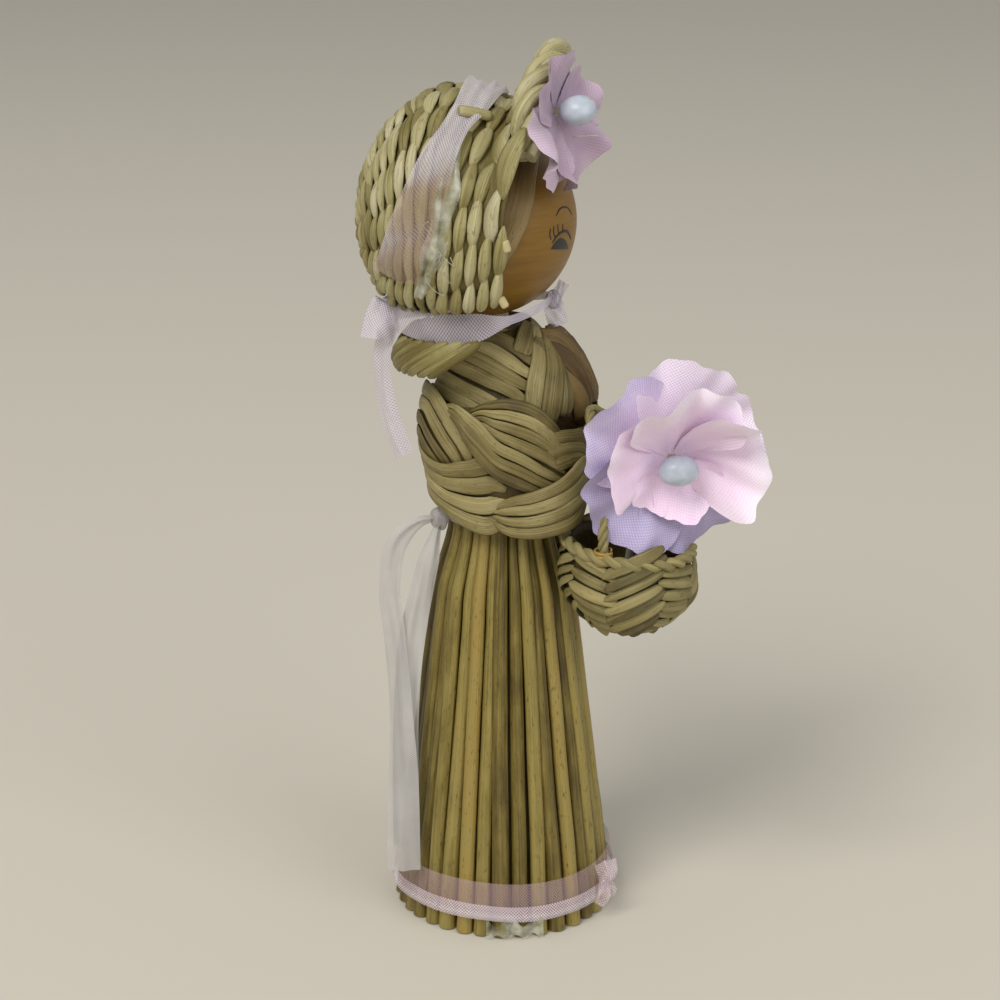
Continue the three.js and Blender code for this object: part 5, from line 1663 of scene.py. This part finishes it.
# %% Neck ribbon
CHIN_WIDTH = 1.3
NAPE_OUT = [(17.4, -1.5, 96.0), (18.6, -0.5, 94.0), (19.2, 0.5, 91.0)]
NAPE_FALL = [(17.2, -1.6, 92.6), (18.2, -0.6, 88.0), (18.0, 1.0, 83.0), (16.9, 2.6, 78.4),
             (15.0, 4.2, 74.0)]
OUT_FACING = [(-1, 0, 0.3), (-1, 0.3, 0), (-1, -0.2, 0)]
FALL_FACING = [(-1, 0.2, 0), (-0.8, 0.6, 0), (-1, 0.3, 0)]
TO_RIGHT = np.array([-1.0, -0.1, 0.05])


def carried(points, place):
    """Points of the doll's frame, as a leaning or turned frame sees them."""
    matrix = np.array(place.inverted() @ DOLL)
    return np.asarray(points) @ matrix[:3, :3].T + matrix[:3, 3] / MM


turn = np.linspace(0, 360, 181)[:, None]
v = np.linspace(-0.5, 0.5, 11)[None]
wide = lerp(CHIN_WIDTH, NECK_RIBBON_HEIGHT, ease((180 - np.abs(turn - 180) - 52) / 34))
half_way = (RIBBON_LOW + RIBBON_TOP) / 2
middle = half_way + 1.1 - 1.7 * np.sin(np.radians(turn)) ** 2
radius = NECK_RIBBON_RADIUS + 0.25 + 0.2 * np.sin(np.radians(13 * turn)) * np.cos(np.pi * v)
points = around(turn, radius, middle + wide * v) + np.array([0, NECK_RIBBON_BACK, 0])
collar = Bundle(74)
collar.sheet(points, lerp(0.75, 0.45, ease((wide - CHIN_WIDTH) / 3)))
nape = np.array([0, NECK_RIBBON_BACK + NECK_RIBBON_RADIUS + 1.02, half_way + 1.0])
chin = np.array([0, NECK_RIBBON_BACK - NECK_RIBBON_RADIUS - 0.68, half_way + 1.0])
for places, facing, width, tone, count in (
    (NAPE_OUT, OUT_FACING, 4.8, 0.7, 24),
    (NAPE_FALL, FALL_FACING, 3.6, 0.5, 44),
):
    ribbon(collar, np.vstack([nape, carried(beside(places), HEAD)]), facing, width, tone, 0.5, 0.3, count)
for bend, end, width, tone in (
    ((-0.4, -0.9, 1.1), (-0.6, -1.9, 2.6), 1.7, 0.7),
    ((-0.5, -0.1, -1.6), (-0.6, -0.6, -3.9), 3.0, 0.6),
):
    ribbon(collar, [chin, chin + bend, chin + end], TO_RIGHT, width, tone, 0.2, 0.2, 16)
piece = collar.build("neck_trim", sheer_lilac, HEAD, "head", ["neck_ribbon"], "ribbon_lilac", solid=False)
nape_tie = knot("nape_knot", nape, (1.9, 1.6, 1.9), sheer_lilac, HEAD, "head", "ribbon_lilac")
chin_tie = knot("chin_knot", chin, (1.4, 1.2, 1.4), sheer_lilac, HEAD, "head", "ribbon_lilac", 8)

# %% [markdown]
# ## Petals
# A petal is a fan of stiff cloth: rounded at its tip, cupped towards the bead, ruffled more and more
# towards its edge, with a crumpled and frayed border. Sculpting five of them by hand gives five alike
# or takes long. Here each is a grid whose height is a sum of waves, with its own phase.

# %% Petals
PETAL_ROWS, PETAL_COLUMNS, PETAL_START = 22, 49, 0.07
CURL_FROM, CURL_GAIN = 0.72, 12


def petal_ring(bundle, lengths, spread_deg, cup, curl, ruffle, base, tones, start, blush_and_shade=(0, 0, 0, 0, 0)):
    s = np.linspace(PETAL_START, 1, PETAL_ROWS)[:, None]
    t = np.linspace(-1, 1, PETAL_COLUMNS)[None]
    away = np.radians(spread_deg * t)
    for k, size in enumerate(lengths):
        rounded = 0.34 + 0.66 * (1 - np.abs(t) ** 3.0) ** 0.5
        frayed = 1 + 0.03 * np.sin(11 * t + k) + 0.01 * np.sin(31 * t + 2 * k)
        reach = s * (size * rounded * frayed)
        share = np.clip(reach / max(lengths), 0, 1.1)
        phase = bundle.rng.uniform(0, 6, 3)
        height = base + cup * share**1.6 - curl * np.maximum(0, share - CURL_FROM) ** 2 * CURL_GAIN
        waves = np.sin(4.4 * t + phase[0]) + 0.55 * np.sin(10.5 * t + phase[1]) * share
        height = height + ruffle * share**2 * waves
        height = height + 0.7 * t * share + 0.3 * np.sin(5 * s + phase[2]) * share
        border = 0.16 * share**3 * np.sin(19 * t + 6 * s + phase[2])
        height = height + ruffle * (border + 0.12 * share * np.sin(9 * s + 7 * t + phase[1]))
        turn = np.radians(start + 360 / len(lengths) * k + bundle.rng.uniform(-5, 5)) + away
        points = stack(reach * np.cos(turn), reach * np.sin(turn), height)
        grain = stack(reach * np.cos(away), reach * np.sin(away), 17.0 * k + 3)
        # A positive blush makes a petal pinker, and a negative one paints shade on it.
        tone = lerp(tones[0], tones[1], share**2) + blush_and_shade[k] + bundle.rng.uniform(-0.05, 0.05)
        bundle.grid(points, grain, tone)


print("petal grid", PETAL_ROWS, "by", PETAL_COLUMNS)

# %% [markdown]
# ## Flower parts
# A flower looks one way. Its petals could be shaped in place, but it is easier to make them flat and
# then to turn them. The bead sits on a wire that runs down into the straw.

# %% Flower parts
WIRE_WIDTH = 1.1


def flower_frame(place, centre, facing):
    turn = Vector((0, 0, 1)).rotation_difference(Vector(facing)).to_matrix().to_4x4()
    return place @ Matrix.Translation(Vector(centre) * MM) @ turn


def stamen(name, centre, facing, radii, turn_deg, rise, path, place, body, solid_name):
    """A bead at a rise over the flower's centre, and the wire from it along a path."""
    bead = Bundle(85)
    middle = np.asarray(centre) + np.asarray(facing) * rise
    bead.lump((0, 0, 0), radii, 0.5, 0.02)
    level = flower_frame(place, middle, facing) @ Matrix.Rotation(math.radians(turn_deg), 4, "Z")
    bead.build(name + "_bead", stamen_bead, level, body, [solid_name], "stamen")
    wire = Bundle(86)
    line = smooth([middle] + [np.asarray(point) for point in path], 50)
    wire.strip(line, np.array([0.3, 0.2, 1.0]), WIRE_WIDTH, WIRE_WIDTH, 0.0, 0.5)
    wire.build(name + "_wire", stamen_wire, place, body, (), "stamen")


# %% [markdown]
# ## Flower in the basket
# The large flower fills the basket: five open lilac petals, and before them five paler pink ones that
# close in a cup round a grey bead. One ring of ten would be flat. The two rings face slightly different
# ways on the real one, so each has its own frame.

# %% Basket flower
FLOWER_FACING = unit(around(38.0, 1.0, -0.06))
BLOOM_FACING = unit(around(50.0, 1.0, -0.2))
FLOWER_AT = np.array([-0.3, BASKET_CENTRE - 6.4, BASKET_RIM + 14.2])
# Painted shade: the two negative values darken the lower petals; the positive ones blush the upper petals
# pinker.
LILAC_LENGTHS, LILAC_BLUSH_AND_SHADE = [14.4, 14.8, 15.4, 15.2, 14.2], (0.7, 0.12, -0.2, -0.2, 0.6)
PINK_LENGTHS = [13.6, 11.4, 8.0, 8.6, 13.0]
BLOOM_BEAD = 3.0

outer = Bundle(81)
petal_ring(outer, LILAC_LENGTHS, 60, 2.4, 0.8, 1.6, 0.0, (0.5, 0.25), 40, LILAC_BLUSH_AND_SHADE)
place = flower_frame(DOLL, FLOWER_AT, FLOWER_FACING)
solids = ["basket_flower_outer_petals"]
piece = outer.build("lilac_petals", lilac_cloth, place, "basket", solids, "petal_lilac", solid=False)
inner = Bundle(82)
petal_ring(inner, PINK_LENGTHS, 66, 9.4, 2.2, 2.7, 1.2, (0.6, 1.0), 33)
place = flower_frame(DOLL, FLOWER_AT, BLOOM_FACING)
solids = ["basket_flower_inner_petals"]
piece = inner.build("pink_petals", petal_cloth, place, "basket", solids, "petal_pink", solid=False)
knee = (0, lerp(FLOWER_AT[1], BASKET_CENTRE, 0.75), lerp(FLOWER_AT[2], BASKET_RIM, 0.7))
wire_path = [FLOWER_AT, FLOWER_AT - 2.5 * FLOWER_FACING, knee, (0, BASKET_CENTRE, BASKET_RIM - 4),
             (0, BASKET_CENTRE, BASKET_FOOT + 2.0)]
radii, rise = BLOOM_BEAD * np.array((1.0, 0.78, 0.75)), 1.6 + 0.6 + GAP + BLOOM_BEAD
stamen("basket_stamen", FLOWER_AT, BLOOM_FACING, radii, -50, rise, wire_path, DOLL, "basket",
       "basket_flower_stamen")

# %% [markdown]
# ## Flower under the brim
# A smaller flower sits in the shade under the brim, beside the face. A copy of the large one, scaled
# down, would have too many petals. It is made in the same way from a single ring, of a darker copy of
# the petal cloth, as painted shade where little light gets in.

# %% Bonnet flower
BONNET_FACING = unit(around(20.0, 1.0, 0.0))
BONNET_WAY = on_bead(33.0, 43.0, 1.0)
BONNET_FLOWER_AT = BONNET_WAY * (HEAD_RADIUS + 8.0) + np.array([-1.3, 0.6, 0.9])
BLOSSOM_LENGTHS = [9.4, 8.2, 7.6, 11.8, 11.2]
BLOSSOM_BEAD = 2.7

blossom = Bundle(83)
# Painted shade: these petals take the darker cloth.
petal_ring(blossom, BLOSSOM_LENGTHS, 56, 2.8, 1.2, 2.1, 0.0, (0.4, 0.9), -14)
place = flower_frame(HEAD, BONNET_FLOWER_AT, BONNET_FACING)
solids = ["bonnet_flower_petals"]
piece = blossom.build("bonnet_petals", shaded_cloth, place, "head", solids, "petal_pink", solid=False)
wire_path = [BONNET_FLOWER_AT, BONNET_FLOWER_AT - 1.5 * BONNET_FACING, BONNET_WAY * (HEAD_RADIUS + GAP)]
radii, rise = BLOSSOM_BEAD * np.array((1.0, 0.8, 1.0)), 0.6 + GAP + BLOSSOM_BEAD
stamen("bonnet_stamen", BONNET_FLOWER_AT, BONNET_FACING, radii, -20, rise, wire_path, HEAD, "head",
       "bonnet_flower_stamen")

# %% [markdown]
# ## Glue
# Clear glue holds the ribbon on the bonnet and the stems at the hem, and has dried there in milky smears.
# A glass shader would be slow and too clean. A glossy skin whose cover changes with a noise shows both
# the clear and the milky places. It lies just over the straw, on the same surfaces.

# %% Glue
GLUE_STOPS = [(0.35, (0.42, 0.42, 0.29)), (0.75, (0.70, 0.71, 0.62))]
SMEAR_FROM, SMEAR_TO = -50, -121


def glue_material():
    material, tree, shader = blank("glue", 0.16, 0.6)
    place = node(tree, "ShaderNodeTexCoord").outputs["Object"]
    milky = noise(tree, place, (380, 380, 380), 3.0)
    uneven = noise(tree, place, (800, 800, 800), 3.0)
    tree.links.new(ramp(tree, milky, GLUE_STOPS), shader.inputs["Base Color"])
    tree.links.new(remap(tree, milky, 0.3, 0.7, 0.15, 0.75), shader.inputs["Alpha"])
    tree.links.new(bump(tree, uneven, 0.5, 0.0004), shader.inputs["Normal"])
    return material


glue = glue_material()
turn = np.linspace(SMEAR_FROM, SMEAR_TO, 70)[:, None]
v = np.linspace(-1, 1, 17)[None]
half = 5.5 * np.sin(np.pi * np.linspace(0.06, 0.94, 70)[:, None]) ** 0.6
middle = lerp(87, 64, ((SMEAR_FROM - turn) / (SMEAR_FROM - SMEAR_TO)) ** 1.4)
polar = middle + half * v * (1 + 0.2 * np.sin(np.radians(14 * turn)))
points, normal = bonnet(np.broadcast_to(turn, polar.shape), polar)
swell = 0.3 + 0.2 * np.sin(4 * v + np.radians(7 * turn))
smear = Bundle(91)
smear.sheet(points + normal * (0.2 + swell * (1 - v**4))[..., None], 0.5)
smear.build("bonnet_glue", glue, HEAD, "head", (), "plait", solid=False)

angle = np.linspace(42, 71, 60)[:, None]
v = np.linspace(0, 1, 16)[None]
z = lerp(0.5 + 0.4 * np.sin(0.7 * angle), 3.2 + 0.9 * np.sin(0.45 * angle), v)
swell = 0.25 * np.abs(np.cos(np.radians(17 * angle))) + 0.12 * np.sin(2.4 * z + 0.3 * angle)
film = Bundle(92)
film.sheet(around(angle, HEM_RADIUS + 0.1 + swell, z), 0.5)
film.build("hem_glue", glue, DOLL, "body", (), "stem", solid=False)

# %% [markdown]
# ## Cut ends
# Where strands of the bonnet were cut off, their ends show the pale pith. A pale spot in the material
# would lie flat. Two ends stand out under the bonnet's edge and a thicker one lies on top by the brim,
# so each is a short strip that starts on the bonnet's surface.

# %% Cut ends
# Each end: its turn and angle on the bonnet, and the way that it points.
CUT_ENDS = ((-92, 106.0, (0.1, -0.2, -1.0)), (-121, 102.0, (0.1, -0.4, -0.9)))
CUT_LENGTH = 1.7

pith = paint("cut_pith", (0.40, 0.34, 0.18), 0.8)
ends = Bundle(93)
for turn_at, polar_at, way in CUT_ENDS:
    spot, out = bonnet(np.array([turn_at - 0.5, turn_at + 0.5]), np.full(2, polar_at))
    start = spot.mean(0) - 0.2 * out.mean(0)
    path = np.linspace(start, start + CUT_LENGTH * unit(np.array(way)), 8)
    ends.strip(path, out.mean(0), 1.2, 0.8, 0.0, taper=0.2)
ends.build("cut_ends", pith, HEAD, "head", (), "plait")

stub = Bundle(95)
path, normal = bonnet(np.linspace(-34, -31, 16), np.linspace(88, 101, 16))
path = path + normal * np.linspace(1.3, 0.4, 16)[:, None]
stub.strip(path, normal, 1.7, 1.5, 0.0, 0.75, taper=0.15)
stub.build("strand_end", plait, HEAD, "head", (), "plait")

# %% [markdown]
# ## Loose fibres
# A few threads have come out of the ribbon and curl over the bonnet, and two stiff ones stand in the
# small flower. They are one or two tenths of a millimetre thick. Hair curves would be lost in the
# export, so they are thin strips with five or six sides.

# %% Loose fibres
fibres = Bundle(94)
at = np.linspace(0, 1, 22)
for k in range(6):
    turn_at = fibres.rng.uniform(-112, -84)
    polar_at = fibres.rng.uniform(66, 80)
    curled = polar_at + 5 * at + 2.0 * np.sin(6 * at + 2 * k)
    path, normal = bonnet(turn_at + 6 * np.sin(4 * at + k), curled)
    path = path + normal * (0.6 + 0.4 * np.sin(3 * at + k))[:, None]
    fibres.strip(path, normal, 0.11, 0.11, 0.0, 0.5, 5)
for drop, reach in ((-3.6, 6.5), (1.6, 5.6)):
    start = BONNET_FLOWER_AT + np.array([0, 0, drop])
    path = np.linspace(start + 2.5 * BONNET_FACING, start + reach * BONNET_FACING, 6)
    fibres.strip(path, np.array([0, 0, 1.0]), 0.2, 0.2, 0.0, 0.5, 6)
fibres.build("loose_fibres", stamen_wire, HEAD, "head", (), "ribbon_white")

# %% [markdown]
# ## Peg and finish
# The peg is plain turned wood inside the doll. It could be made anew as a cylinder, but it hardly
# shows, so it keeps the solid of the model and only gets its material.

# %% Peg and finish
peg = frame["nodes"]["neck_peg"]
peg.data.materials.clear()
peg.data.materials.append(peg_wood)
